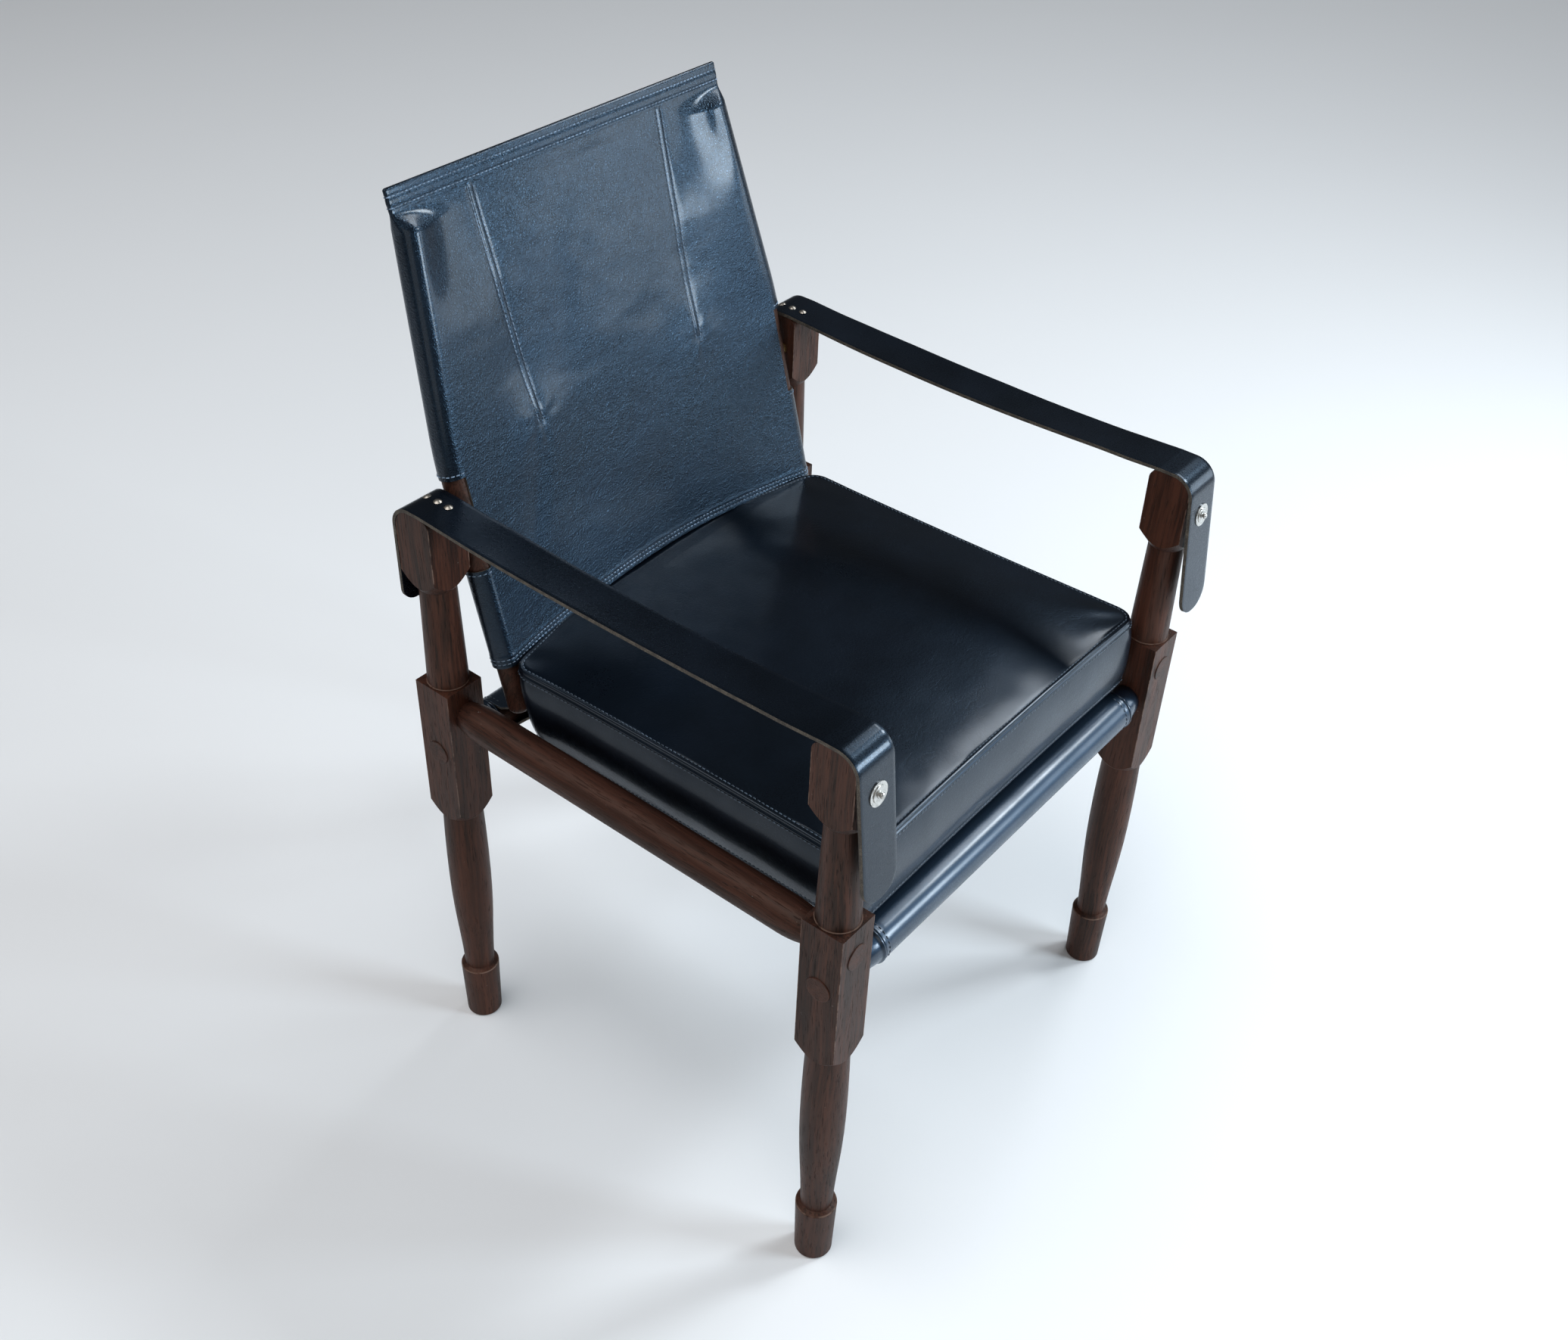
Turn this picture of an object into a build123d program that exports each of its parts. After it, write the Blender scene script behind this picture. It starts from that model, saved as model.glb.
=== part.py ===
from build123d import *
from math import asin, atan, cos, degrees, hypot, radians, sin, sqrt
import os

os.makedirs("parts", exist_ok=True)

# A campaign chair: turned legs, round rails and leather.
# Millimetres. The front faces -Y, left is -X and the floor is Z = 0.

# Frame, between the centre lines of the legs
leg_spread = 505.5
leg_depth = 465.3

# Square blocks of the legs, and the lengths turned below and between them
block_side = 43.0
leg_height = 662.0
top_block_height = 67.0
neck_length = 128.0
middle_block_height = 153.0
foot_height = 72.0
ankle_rise = 3.0
neck_bead_height = 1.4
foot_base_round = 2.5
foot_collar_round = 1.6

# Depth of each turning below the flats of the blocks
foot_base_cut = 3.1
foot_collar_cut = 1.3
ankle_cut = 6.1
calf_cut = 0.2
knee_cut = 1.6
neck_bead_cut = 1.1
neck_base_cut = 1.8
neck_top_cut = 4.2

# Rounds and slopes of the blocks
crown_outer_radius = 19.0
crown_inner_radius = 9.5
pommel_slope = 1.35

# Swell of the calf, as shares of its height and of its swell over the ankle
calf_shares = ((0.22, 0.42), (0.43, 0.86), (0.64, 1.0), (0.79, 0.97))

# Rails and their round through tenons, below the top of the middle blocks
side_rail_drop = 33.0
front_rail_drop = 71.0
rear_rail_drop = 79.0
side_rail_radius = 18.0
core_rail_radius = 17.3
rail_taper_length = 30.0
rail_shoulder_radius = 13.6
tenon_radius = 12.7
tenon_proud = 1.0
tenon_edge_round = 0.8
tenon_clearance = 0.1

# Leather of the seat sling and of the caps at the ends of its rolls
leather_gap = 0.1
sling_thickness = 2.6
deck_inset = 17.0
lap_reach = 46.0
lap_length = 38.0
cap_length = 26.25
cap_thickness = 1.5

# Loose seat cushion
cushion_side_clearance = 4.25
cushion_back_clearance = 4.75
cushion_front_overhang = 0.5
cushion_corner_radius = 30.0
cushion_draw_in = 3.0
cushion_seat_gap = 0.3
cushion_belly = 14.5
cushion_boxing = 72.5
cushion_bulge = 1.5
cushion_crown = 11.0

# Swivelling back: its pivot, its lean and its two bent stiles
pivot_drop = 37.0
pivot_ahead_of_leg = 6.0
pivot_gap = 3.05
back_lean = 15.1
stile_radius = 12.2
stile_tip_cut = 1.2
stile_tip_round = 7.0
stile_below_hem = 53.5
stile_bend_start = 40.0
stile_bend_radius = 400.0
stile_bend_angle = 6.84
stile_rise = 270.2

# Leather sleeve of the back
sleeve_thickness = 1.6
sleeve_gap = 0.2
sleeve_drop = 142.0
hem_arch = 28.0
sleeve_over_stiles = 31.2
seam_height = 20.4
shoulder_height = 19.0
seam_inset = 10.0
sleeve_hollow = 13.0
hem_hollow_share = 1.15
notch_above_pivot = 49.0
notch_below_pivot = 41.0
notch_lap = 2.0

# Arm straps
strap_overhang = 0.5
strap_thickness = 3.4
strap_gap = 0.2
strap_sag = 7.0
strap_flare = 6.3
strap_front_drop = 146.0
strap_rear_drop = 105.0
strap_front_flat = 3.0
strap_rear_flat = 14.0

# Button stud and washer that hold the front of each strap
stud_drop = 41.0
stud_shank_radius = 2.4
stud_shank_depth = 24.0
stud_ball_radius = 3.4
stud_neck = 1.2
washer_radius = 11.0
washer_thickness = 1.0
washer_step_radius = 7.6
washer_step_height = 0.8
fastener_clearance = 0.1

# Domed pins that hold the rear of each strap
pin_places = 3
pin_pitch = 13.8
pin_from_inner_face = 2.25
pin_inset = 5.8
pin_head_radius = 3.9
pin_head_height = 1.7
pin_shank_radius = 1.1
pin_shank_length = 20.0

# Pivot bolt and spacer between the stile and the rear leg
bolt_radius = 3.0
bolt_depth = 30.0
bolt_head_radius = 6.0
bolt_head_height = 3.0
bolt_head_recess = 0.6
spacer_radius = 6.2
pivot_clearance = 0.08
recess_clearance = 0.3
face_gap = 0.1

# One overrun serves every cut
overrun = 2.0

# Places worked out from the sizes above
half_block = block_side / 2
leg_x = leg_spread / 2
inner_face_x = leg_x - half_block
foot_base_radius = half_block - foot_base_cut
foot_collar_radius = half_block - foot_collar_cut
ankle_radius = half_block - ankle_cut
calf_radius = half_block - calf_cut
knee_radius = half_block - knee_cut
neck_bead_radius = half_block - neck_bead_cut
neck_base_radius = half_block - neck_base_cut
neck_top_radius = half_block - neck_top_cut
top_block_base = leg_height - top_block_height
middle_block_top = top_block_base - neck_length
middle_block_base = middle_block_top - middle_block_height
side_rail_height = middle_block_top - side_rail_drop
front_rail_height = middle_block_top - front_rail_drop
rear_rail_height = middle_block_top - rear_rail_drop
pivot_height = leg_height - pivot_drop
stud_height = leg_height - stud_drop
lean = radians(back_lean)
bend = radians(stile_bend_angle)
flare = radians(strap_flare)
sleeve_radius = stile_radius + sleeve_gap + sleeve_thickness
roll_radius = core_rail_radius + leather_gap + sling_thickness
stile_x = inner_face_x - pivot_gap - stile_radius
stile_tip_radius = stile_radius - stile_tip_cut
stile_drop = sleeve_drop + stile_below_hem
sleeve_rise = stile_rise + sleeve_over_stiles
shoulder_foot = sleeve_rise - seam_height - shoulder_height
strap_width = block_side + 2 * strap_overhang
strap_front_tip = leg_height - strap_front_drop
strap_rear_tip = leg_height - strap_rear_drop
strap_front_round = (strap_width - strap_front_flat) / 2
strap_rear_round = (strap_width - strap_rear_flat) / 2
strap_path_radius = crown_outer_radius + strap_gap + strap_thickness / 2
strap_top = leg_height + strap_gap + strap_thickness
strap_drop_top = leg_height - crown_outer_radius + strap_path_radius * sin(flare)
strap_drop_run = (strap_drop_top - strap_front_tip) / cos(flare)

# The origin is under the middle of the whole chair, so the legs stand forward of it
front_overhang = (
    half_block - crown_outer_radius + strap_path_radius * cos(flare)
    + strap_drop_run * sin(flare) + strap_thickness / 2 * cos(flare)
)
rear_overhang = (
    shoulder_foot * sin(lean) + sleeve_radius * cos(lean) - pivot_ahead_of_leg
)
legs_ahead = (rear_overhang - front_overhang) / 2
front_leg_y = -leg_depth / 2 - legs_ahead
rear_leg_y = leg_depth / 2 - legs_ahead
pivot_y = rear_leg_y - pivot_ahead_of_leg

# The cushion fills the seat between the legs, up to the tips of the stiles
cushion_width = 2 * (inner_face_x - cushion_side_clearance)
stile_tip_y = pivot_y - stile_drop * sin(lean) - stile_tip_radius * cos(lean)
cushion_depth = stile_tip_y - cushion_back_clearance - front_leg_y + cushion_front_overhang

# The seat slopes back from the front rail to the lower rear rail
seat_slope = atan((front_rail_height - rear_rail_height) / leg_depth)
seat_run = hypot(leg_depth, front_rail_height - rear_rail_height)
seat_plane = Plane(
    origin=(0, front_leg_y, front_rail_height),
    x_dir=(1, 0, 0),
    z_dir=(0, sin(seat_slope), cos(seat_slope)),
)
sling_side_plane = Plane(
    origin=seat_plane.origin,
    x_dir=(0, cos(seat_slope), -sin(seat_slope)),
    z_dir=(1, 0, 0),
)

# The back plane holds both stile axes: X across, Y up the back from the pivot
back_plane = Plane(
    origin=(0, pivot_y, pivot_height),
    x_dir=(1, 0, 0),
    z_dir=(0, -cos(lean), sin(lean)),
)
back_up = Vector(0, sin(lean), cos(lean))


def across(x, y, z):
    """Plane facing +X, for holes and turnings along X."""
    return Plane(origin=(x, y, z), x_dir=(0, 1, 0), z_dir=(1, 0, 0))


def along(x, y, z):
    """Plane facing +Y, for holes along Y."""
    return Plane(origin=(x, y, z), x_dir=(-1, 0, 0), z_dir=(0, 1, 0))


def stud_plane(x):
    """Plane on the outer face of a strap's front drop, at the button stud."""
    run = (strap_drop_top - stud_height) / cos(flare)
    reach = front_leg_y - half_block + crown_outer_radius - strap_path_radius * cos(flare)
    outer = strap_thickness / 2
    return Plane(
        origin=(
            x,
            reach - run * sin(flare) - outer * cos(flare),
            stud_height + outer * sin(flare),
        ),
        x_dir=(1, 0, 0),
        z_dir=(0, -cos(flare), sin(flare)),
    )


def pin_planes(side):
    """Planes on the strap over a rear leg, one under each domed pin."""
    planes = []
    x = side * (leg_x - pin_inset)
    crown_y = rear_leg_y + half_block - crown_outer_radius
    outer_radius = strap_path_radius + strap_thickness / 2
    for place in range(pin_places):
        y = rear_leg_y - half_block + pin_from_inner_face + place * pin_pitch
        past_crown = min(max(0, y - crown_y), outer_radius)
        tilt = asin(past_crown / outer_radius)
        drop = outer_radius * (1 - cos(tilt))
        planes.append(
            Plane(
                origin=(x, y, strap_top - drop),
                x_dir=(1, 0, 0),
                z_dir=(0, sin(tilt), cos(tilt)),
            )
        )
    return planes


def finish(piece, name):
    """Label a finished piece and write it."""
    piece.part.label = name
    export_step(piece.part, f"parts/{name}.step")


# Legs: one square billet each, turned below, between and above its two blocks
corner_radius = block_side / sqrt(2)
lathe_radius = corner_radius + overrun
ankle_height = foot_height + ankle_rise
knee_height = middle_block_base - (corner_radius - knee_radius) * pommel_slope
neck_top_height = top_block_base - (corner_radius - neck_top_radius) * pommel_slope
calf_height = knee_height - ankle_height
calf_swell = calf_radius - ankle_radius
calf_points = [
    (ankle_radius + calf_swell * swell, ankle_height + calf_height * rise)
    for rise, swell in calf_shares
]


def make_leg(end, side, name):
    """A leg. End is -1 at the front and 1 at the rear, side -1 left and 1 right."""
    x = side * leg_x
    y = front_leg_y if end < 0 else rear_leg_y
    cross_rail_height = front_rail_height if end < 0 else rear_rail_height
    with BuildPart() as leg:
        with BuildSketch(Plane(origin=(x, y, 0), x_dir=(1, 0, 0), z_dir=(0, -1, 0))):
            with BuildLine():
                Polyline(
                    (0, 0),
                    (foot_base_radius, 0),
                    (foot_collar_radius, foot_height),
                    (ankle_radius, ankle_height),
                )
                Spline(
                    (ankle_radius, ankle_height),
                    *calf_points,
                    (knee_radius, knee_height),
                )
                Polyline(
                    (knee_radius, knee_height),
                    (lathe_radius, middle_block_base + overrun * pommel_slope),
                    (lathe_radius, middle_block_top),
                    (neck_bead_radius, middle_block_top),
                    (neck_bead_radius, middle_block_top + neck_bead_height),
                    (neck_base_radius, middle_block_top + neck_bead_height),
                    (neck_top_radius, neck_top_height),
                    (lathe_radius, top_block_base + overrun * pommel_slope),
                    (lathe_radius, leg_height),
                    (0, leg_height),
                    (0, 0),
                )
            make_face()
        revolve(axis=Axis((x, y, 0), (0, 0, 1)))
        with BuildSketch(Plane(origin=(x, y, 0), z_dir=(0, 0, 1))):
            Rectangle(block_side, block_side)
        extrude(amount=leg_height, mode=Mode.INTERSECT)

        # The floor edge and the collar of the foot are eased
        fillet(leg.edges().filter_by(GeomType.CIRCLE).sort_by(Axis.Z)[0], foot_base_round)
        collar = leg.edges().filter_by(GeomType.CIRCLE).filter_by_position(
            Axis.Z, foot_height - ankle_rise / 2, foot_height + ankle_rise / 2
        )
        fillet(collar, foot_collar_round)

        # The strap runs over the large round; the small one faces the seat
        crown = leg.edges().filter_by(Axis.X).group_by(Axis.Z)[-1].sort_by(Axis.Y)
        fillet(crown[-1] if end > 0 else crown[0], crown_outer_radius)
        crown = leg.edges().filter_by(Axis.X).group_by(Axis.Z)[-1].sort_by(Axis.Y)
        fillet(crown[0] if end > 0 else crown[-1], crown_inner_radius)

        # Through sockets for the tenons of the cross rail and the side rail
        with BuildSketch(across(x, y, cross_rail_height)):
            Circle(tenon_radius + tenon_clearance)
        extrude(amount=block_side, both=True, mode=Mode.SUBTRACT)
        with BuildSketch(along(x, y, side_rail_height)):
            Circle(tenon_radius + tenon_clearance)
        extrude(amount=block_side, both=True, mode=Mode.SUBTRACT)

        if end < 0:
            with BuildSketch(stud_plane(x)):
                Circle(stud_shank_radius + fastener_clearance)
            extrude(amount=-stud_shank_depth - fastener_clearance, mode=Mode.SUBTRACT)
        else:
            for pin_plane in pin_planes(side):
                with BuildSketch(pin_plane):
                    Circle(pin_shank_radius + fastener_clearance)
                extrude(amount=-pin_shank_length - fastener_clearance, mode=Mode.SUBTRACT)
            with BuildSketch(across(side * inner_face_x, pivot_y, pivot_height)):
                Circle(bolt_radius + pivot_clearance)
            extrude(amount=side * (bolt_depth + fastener_clearance), mode=Mode.SUBTRACT)
    finish(leg, name)


for end, end_name in ((-1, "front"), (1, "rear")):
    for side, side_name in ((-1, "left"), (1, "right")):
        make_leg(end, side, f"leg_{end_name}_{side_name}")


def make_rail(plane, half_length, radius, taper_length, name):
    """A round rail along the plane's X axis, tapered to a shoulder and a tenon."""
    tenon_end = half_length + block_side + tenon_proud
    with BuildPart() as rail:
        with BuildSketch(plane):
            with BuildLine():
                Line((0, 0), (0, radius))
                Line((0, radius), (half_length - taper_length, radius))
                TangentArc(
                    (half_length - taper_length, radius),
                    (half_length, rail_shoulder_radius),
                    tangent=(1, 0),
                )
                Polyline(
                    (half_length, rail_shoulder_radius),
                    (half_length, tenon_radius),
                    (tenon_end, tenon_radius),
                    (tenon_end, 0),
                    (0, 0),
                )
            make_face()
        revolve(axis=Axis(plane.origin, plane.x_dir))
        end_edges = rail.edges().filter_by(GeomType.CIRCLE).sort_by(Axis(plane.origin, plane.x_dir))
        fillet(end_edges[-1], tenon_edge_round)
        mirror(about=Plane(origin=plane.origin, z_dir=plane.x_dir))
    finish(rail, name)


# Bare side rails, and cross rails that carry the sling
side_rail_half = leg_depth / 2 - half_block
cross_rail_half = leg_x - half_block
roll_half = cross_rail_half - cap_length
for side, side_name in ((-1, "left"), (1, "right")):
    make_rail(
        across(side * leg_x, (front_leg_y + rear_leg_y) / 2, side_rail_height),
        side_rail_half,
        side_rail_radius,
        rail_taper_length,
        f"side_rail_{side_name}",
    )
cross_rails = (
    ("front", front_leg_y, front_rail_height),
    ("rear", rear_leg_y, rear_rail_height),
)
for end_name, y, height in cross_rails:
    make_rail(
        Plane(origin=(0, y, height), x_dir=(1, 0, 0), z_dir=(0, -1, 0)),
        cross_rail_half,
        core_rail_radius,
        cap_length,
        f"{end_name}_rail",
    )

# Leather caps over the tapered ends of the cross rails
cap_inner = core_rail_radius + leather_gap
cap_outer = cap_inner + cap_thickness
cap_drop = core_rail_radius - rail_shoulder_radius
for end_name, y, height in cross_rails:
    for side, side_name in ((-1, "left"), (1, "right")):
        with BuildPart() as roll_cap:
            with BuildSketch(Plane(origin=(0, y, height), x_dir=(side, 0, 0), z_dir=(0, -side, 0))):
                with BuildLine():
                    Line((roll_half, cap_inner), (roll_half, cap_outer))
                    TangentArc(
                        (roll_half, cap_outer),
                        (cross_rail_half, cap_outer - cap_drop),
                        tangent=(1, 0),
                    )
                    Line(
                        (cross_rail_half, cap_outer - cap_drop),
                        (cross_rail_half, cap_inner - cap_drop),
                    )
                    TangentArc(
                        (roll_half, cap_inner),
                        (cross_rail_half, cap_inner - cap_drop),
                        tangent=(1, 0),
                    )
                make_face()
            revolve(axis=Axis((0, y, height), (1, 0, 0)))
        finish(roll_cap, f"roll_cap_{end_name}_{side_name}")


# Seat sling: a deck over both cross rails, wrapped round them and lapped underneath
deck_underside = roll_radius - sling_thickness
bore_radius = core_rail_radius + leather_gap


def lap_tangent(radius, reach, height):
    """Where a line from (reach, height) touches the lower back of a roll."""
    distance = hypot(reach, height)
    angle = asin(height / distance) - (radians(90) - asin(radius / distance))
    return (radius * cos(angle), radius * sin(angle))


lap_outer_height = deck_underside - sling_thickness
lap_outer_touch = lap_tangent(roll_radius, lap_reach, lap_outer_height)
lap_inner_touch = lap_tangent(bore_radius, lap_reach, deck_underside)
with BuildPart() as seat_sling:
    # The rolls are full rings, longer than the deck is wide
    with BuildSketch(sling_side_plane):
        with Locations((0, 0), (seat_run, 0)):
            Circle(roll_radius)
    extrude(amount=roll_half, both=True)
    # The deck, and the laps that come up from each roll to its underside
    with BuildSketch(sling_side_plane):
        with BuildLine():
            Polyline(
                (0, 0),
                (0, roll_radius),
                (seat_run / 2, roll_radius),
                (seat_run / 2, deck_underside),
                (lap_reach + lap_length, deck_underside),
                (lap_reach + lap_length, lap_outer_height),
                (lap_reach, lap_outer_height),
                lap_outer_touch,
                (0, 0),
            )
        make_face()
        mirror(about=Plane.YZ.offset(seat_run / 2))
    extrude(amount=roll_half - deck_inset, both=True)
    # The hollows between lap and deck, then the bores for the rails
    with BuildSketch(sling_side_plane):
        with BuildLine():
            Polyline((0, 0), lap_inner_touch, (lap_reach, deck_underside), (0, deck_underside), (0, 0))
        make_face()
        mirror(about=Plane.YZ.offset(seat_run / 2))
        with Locations((0, 0), (seat_run, 0)):
            Circle(bore_radius)
    extrude(amount=cross_rail_half, both=True, mode=Mode.SUBTRACT)
finish(seat_sling, "seat_sling")


# Seat cushion: crowned above and below, with drawn-in sides and a soft bulge
def cushion_section(height, inset):
    """Outline of the cushion at a height above the front rail's axis, drawn in by inset."""
    far_x = cushion_width / 2 - inset
    far_y = cushion_depth / 2 - inset
    straight_x = far_x - cushion_corner_radius
    straight_y = far_y - cushion_corner_radius
    turn = cushion_corner_radius * cos(radians(45))
    drawn_x = far_x - cushion_draw_in
    drawn_y = far_y - cushion_draw_in
    middle_y = cushion_depth / 2 - cushion_front_overhang
    section_plane = seat_plane.offset(height)
    section_plane.origin = section_plane.origin + seat_plane.y_dir * middle_y
    with BuildSketch(section_plane) as section:
        with BuildLine():
            for way in (1, -1):
                start = (-way * straight_x, -way * far_y)
                corner = (way * straight_x, -way * far_y)
                side = (way * far_x, -way * straight_y)
                far_side = (way * far_x, way * straight_y)
                end = (way * straight_x, way * far_y)
                ThreePointArc(start, (0, -way * drawn_y), corner)
                ThreePointArc(corner, (way * (straight_x + turn), -way * (straight_y + turn)), side)
                ThreePointArc(side, (way * drawn_x, 0), far_side)
                ThreePointArc(far_side, (way * (straight_x + turn), way * (straight_y + turn)), end)
        make_face()
    return section.sketch


cushion_base = roll_radius + cushion_seat_gap
lower_seam = cushion_base + cushion_belly
upper_seam = lower_seam + cushion_boxing
crown_shares = ((0.45, 0.10), (0.8, 0.26), (1.0, 0.5))
belly_sections = [
    cushion_section(lower_seam - cushion_belly * rise, cushion_depth / 2 * inset)
    for rise, inset in reversed(crown_shares)
]
boxing_sections = [
    cushion_section(lower_seam, 0),
    cushion_section((lower_seam + upper_seam) / 2, -cushion_bulge),
    cushion_section(upper_seam, 0),
]
crown_sections = [
    cushion_section(upper_seam + cushion_crown * rise, cushion_depth / 2 * inset)
    for rise, inset in crown_shares
]
with BuildPart() as seat_cushion:
    loft(belly_sections + boxing_sections[:1], ruled=True)
    loft(boxing_sections)
    loft(boxing_sections[-1:] + crown_sections, ruled=True)
finish(seat_cushion, "seat_cushion")


# Back stiles: straight below, bent in towards the top, turning on the pivot bolts
bend_end = stile_bend_start + stile_bend_radius * sin(bend)
bend_shift = stile_bend_radius * (1 - cos(bend))
upper_run = (stile_rise - stile_radius - bend_end) / cos(bend)
stile_top_shift = bend_shift + upper_run * sin(bend)


def stile_shift(rise):
    """How far a stile's axis has bent in at a rise above the pivot."""
    if rise <= stile_bend_start:
        return 0
    if rise <= bend_end:
        return stile_bend_radius - sqrt(stile_bend_radius**2 - (rise - stile_bend_start) ** 2)
    return bend_shift + (rise - bend_end) * sin(bend) / cos(bend)


spotface_depth = stile_radius - sqrt(stile_radius**2 - (spacer_radius + recess_clearance) ** 2)
stile_outer_x = stile_x + stile_radius
spacer_inner_x = stile_outer_x - spotface_depth + face_gap
bolt_head_x = stile_x - stile_radius + bolt_head_recess + bolt_head_height

for side, side_name in ((-1, "left"), (1, "right")):
    x = side * stile_x
    with BuildPart() as back_stile:
        # The lower part tapers to a rounded tip
        with BuildSketch(back_plane):
            with BuildLine():
                Polyline(
                    (x, stile_bend_start),
                    (x + stile_radius, stile_bend_start),
                    (x + stile_radius, 0),
                    (x + stile_tip_radius, -stile_drop),
                    (x, -stile_drop),
                    (x, stile_bend_start),
                )
            make_face()
        revolve(axis=Axis(back_plane.from_local_coords(Vector(x, 0, 0)), back_up))
        tip_edge = back_stile.edges().filter_by(GeomType.CIRCLE).sort_by(Axis.Z)[0]
        fillet(tip_edge, stile_tip_round)
        # The upper part bends in and ends in a dome
        with BuildLine(back_plane):
            CenterArc(
                (x - side * stile_bend_radius, stile_bend_start),
                stile_bend_radius,
                0 if side > 0 else 180,
                side * stile_bend_angle,
            )
            Line(
                (x - side * bend_shift, bend_end),
                (x - side * stile_top_shift, stile_rise - stile_radius),
            )
        with BuildSketch(
            Plane(
                origin=back_plane.from_local_coords(Vector(x, stile_bend_start, 0)),
                x_dir=(1, 0, 0),
                z_dir=back_up,
            )
        ):
            Circle(stile_radius)
        sweep()
        stile_top = Vector(x - side * stile_top_shift, stile_rise - stile_radius, 0)
        with Locations(back_plane.from_local_coords(stile_top)):
            Sphere(stile_radius)
        # Bore, spotface for the spacer and recess for the bolt's head
        with BuildSketch(across(x, pivot_y, pivot_height)):
            Circle(bolt_radius + pivot_clearance)
        extrude(amount=2 * stile_radius, both=True, mode=Mode.SUBTRACT)
        with BuildSketch(across(side * (stile_outer_x - spotface_depth), pivot_y, pivot_height)):
            Circle(spacer_radius + recess_clearance)
        extrude(amount=side * (spotface_depth + overrun), mode=Mode.SUBTRACT)
        with BuildSketch(across(side * bolt_head_x, pivot_y, pivot_height)):
            Circle(bolt_head_radius + recess_clearance)
        extrude(amount=-side * (bolt_head_height + bolt_head_recess + overrun), mode=Mode.SUBTRACT)
    finish(back_stile, f"back_stile_{side_name}")

# Pivot bolts and spacers: fixed to the legs, inside the stiles
for side, side_name in ((-1, "left"), (1, "right")):
    with BuildPart() as pivot_bolt:
        with BuildSketch(across(side * (bolt_head_x - face_gap), pivot_y, pivot_height)):
            Circle(bolt_head_radius)
        extrude(amount=-side * bolt_head_height)
        with BuildSketch(across(side * (bolt_head_x - face_gap), pivot_y, pivot_height)):
            Circle(bolt_radius)
        extrude(amount=side * (inner_face_x + bolt_depth - bolt_head_x + face_gap))
    finish(pivot_bolt, f"pivot_bolt_{side_name}")
    with BuildPart() as pivot_spacer:
        with BuildSketch(across(side * spacer_inner_x, pivot_y, pivot_height)):
            Circle(spacer_radius)
            Circle(bolt_radius + pivot_clearance, mode=Mode.SUBTRACT)
        extrude(amount=side * (inner_face_x - spacer_inner_x))
    finish(pivot_spacer, f"pivot_spacer_{side_name}")


# Back sleeve: a front and a rear layer, closed at the top seam and open below
def sleeve_section(rise, shift, radius, hollow):
    """Outline across the back at a rise above the pivot, its front drawn in by hollow."""
    centre = stile_x - shift
    turn = radius * cos(radians(45))
    section_plane = Plane(
        origin=back_plane.origin + back_up * rise,
        x_dir=(1, 0, 0),
        z_dir=back_up,
    )
    with BuildSketch(section_plane) as section:
        with BuildLine():
            Line((-centre, radius), (centre, radius))
            ThreePointArc((centre, radius), (centre + turn, turn), (centre + radius, 0))
            ThreePointArc((centre + radius, 0), (centre + turn, -turn), (centre, -radius))
            ThreePointArc((centre, -radius), (0, hollow - radius), (-centre, -radius))
            ThreePointArc((-centre, -radius), (-centre - turn, -turn), (-centre - radius, 0))
            ThreePointArc((-centre - radius, 0), (-centre - turn, turn), (-centre, radius))
        make_face()
    return section.sketch


seam_foot = sleeve_rise - seam_height
seam_shift = seam_inset + sleeve_thickness
inner_seam_radius = sleeve_thickness / 4
inner_seam_foot = seam_foot - sleeve_thickness
bend_steps = 3
bend_rises = [
    stile_bend_start + (bend_end - stile_bend_start) * step / bend_steps
    for step in range(bend_steps + 1)
]


def hollow_at(rise):
    """Depth of the front layer's hollow, fading from the hem to the shoulder."""
    return sleeve_hollow * (hem_hollow_share - (rise + sleeve_drop) / (shoulder_foot + sleeve_drop))


body_rises = [0, *bend_rises, shoulder_foot]
outer_sections = [sleeve_section(-sleeve_drop, 0, sleeve_radius, hollow_at(-sleeve_drop))]
inner_radius = sleeve_radius - sleeve_thickness
inner_sections = [sleeve_section(-sleeve_drop - overrun, 0, inner_radius, hollow_at(-sleeve_drop))]
for rise in body_rises:
    shift = stile_shift(rise)
    outer_sections.append(sleeve_section(rise, shift, sleeve_radius, hollow_at(rise)))
    inner_sections.append(sleeve_section(rise, shift, inner_radius, hollow_at(rise)))
seam_hollow = sleeve_thickness / 8
for rise in (seam_foot, sleeve_rise):
    outer_sections.append(sleeve_section(rise, seam_shift, sleeve_thickness, seam_hollow))
inner_sections.append(
    sleeve_section(inner_seam_foot, seam_shift + sleeve_thickness, inner_seam_radius, seam_hollow / 2)
)
notch_height = notch_above_pivot + notch_below_pivot
notch_width = sleeve_radius + notch_lap + overrun
notch_x = stile_x - notch_lap + notch_width / 2
with BuildPart() as back_sleeve:
    loft(outer_sections, ruled=True)
    loft(inner_sections, ruled=True, mode=Mode.SUBTRACT)
    # Side notches bare the stiles where they turn on the legs
    with BuildSketch(back_plane):
        with Locations(
            (-notch_x, notch_above_pivot - notch_height / 2),
            (notch_x, notch_above_pivot - notch_height / 2),
        ):
            Rectangle(notch_width, notch_height)
    extrude(amount=sleeve_radius + overrun, both=True, mode=Mode.SUBTRACT)
    # The hem arches up between the stiles
    with BuildSketch(back_plane):
        with BuildLine():
            ThreePointArc((-stile_x, -sleeve_drop), (0, hem_arch - sleeve_drop), (stile_x, -sleeve_drop))
            Polyline(
                (stile_x, -sleeve_drop),
                (stile_x, -sleeve_drop - overrun),
                (-stile_x, -sleeve_drop - overrun),
                (-stile_x, -sleeve_drop),
            )
        make_face()
    extrude(amount=sleeve_radius + overrun, both=True, mode=Mode.SUBTRACT)
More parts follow.
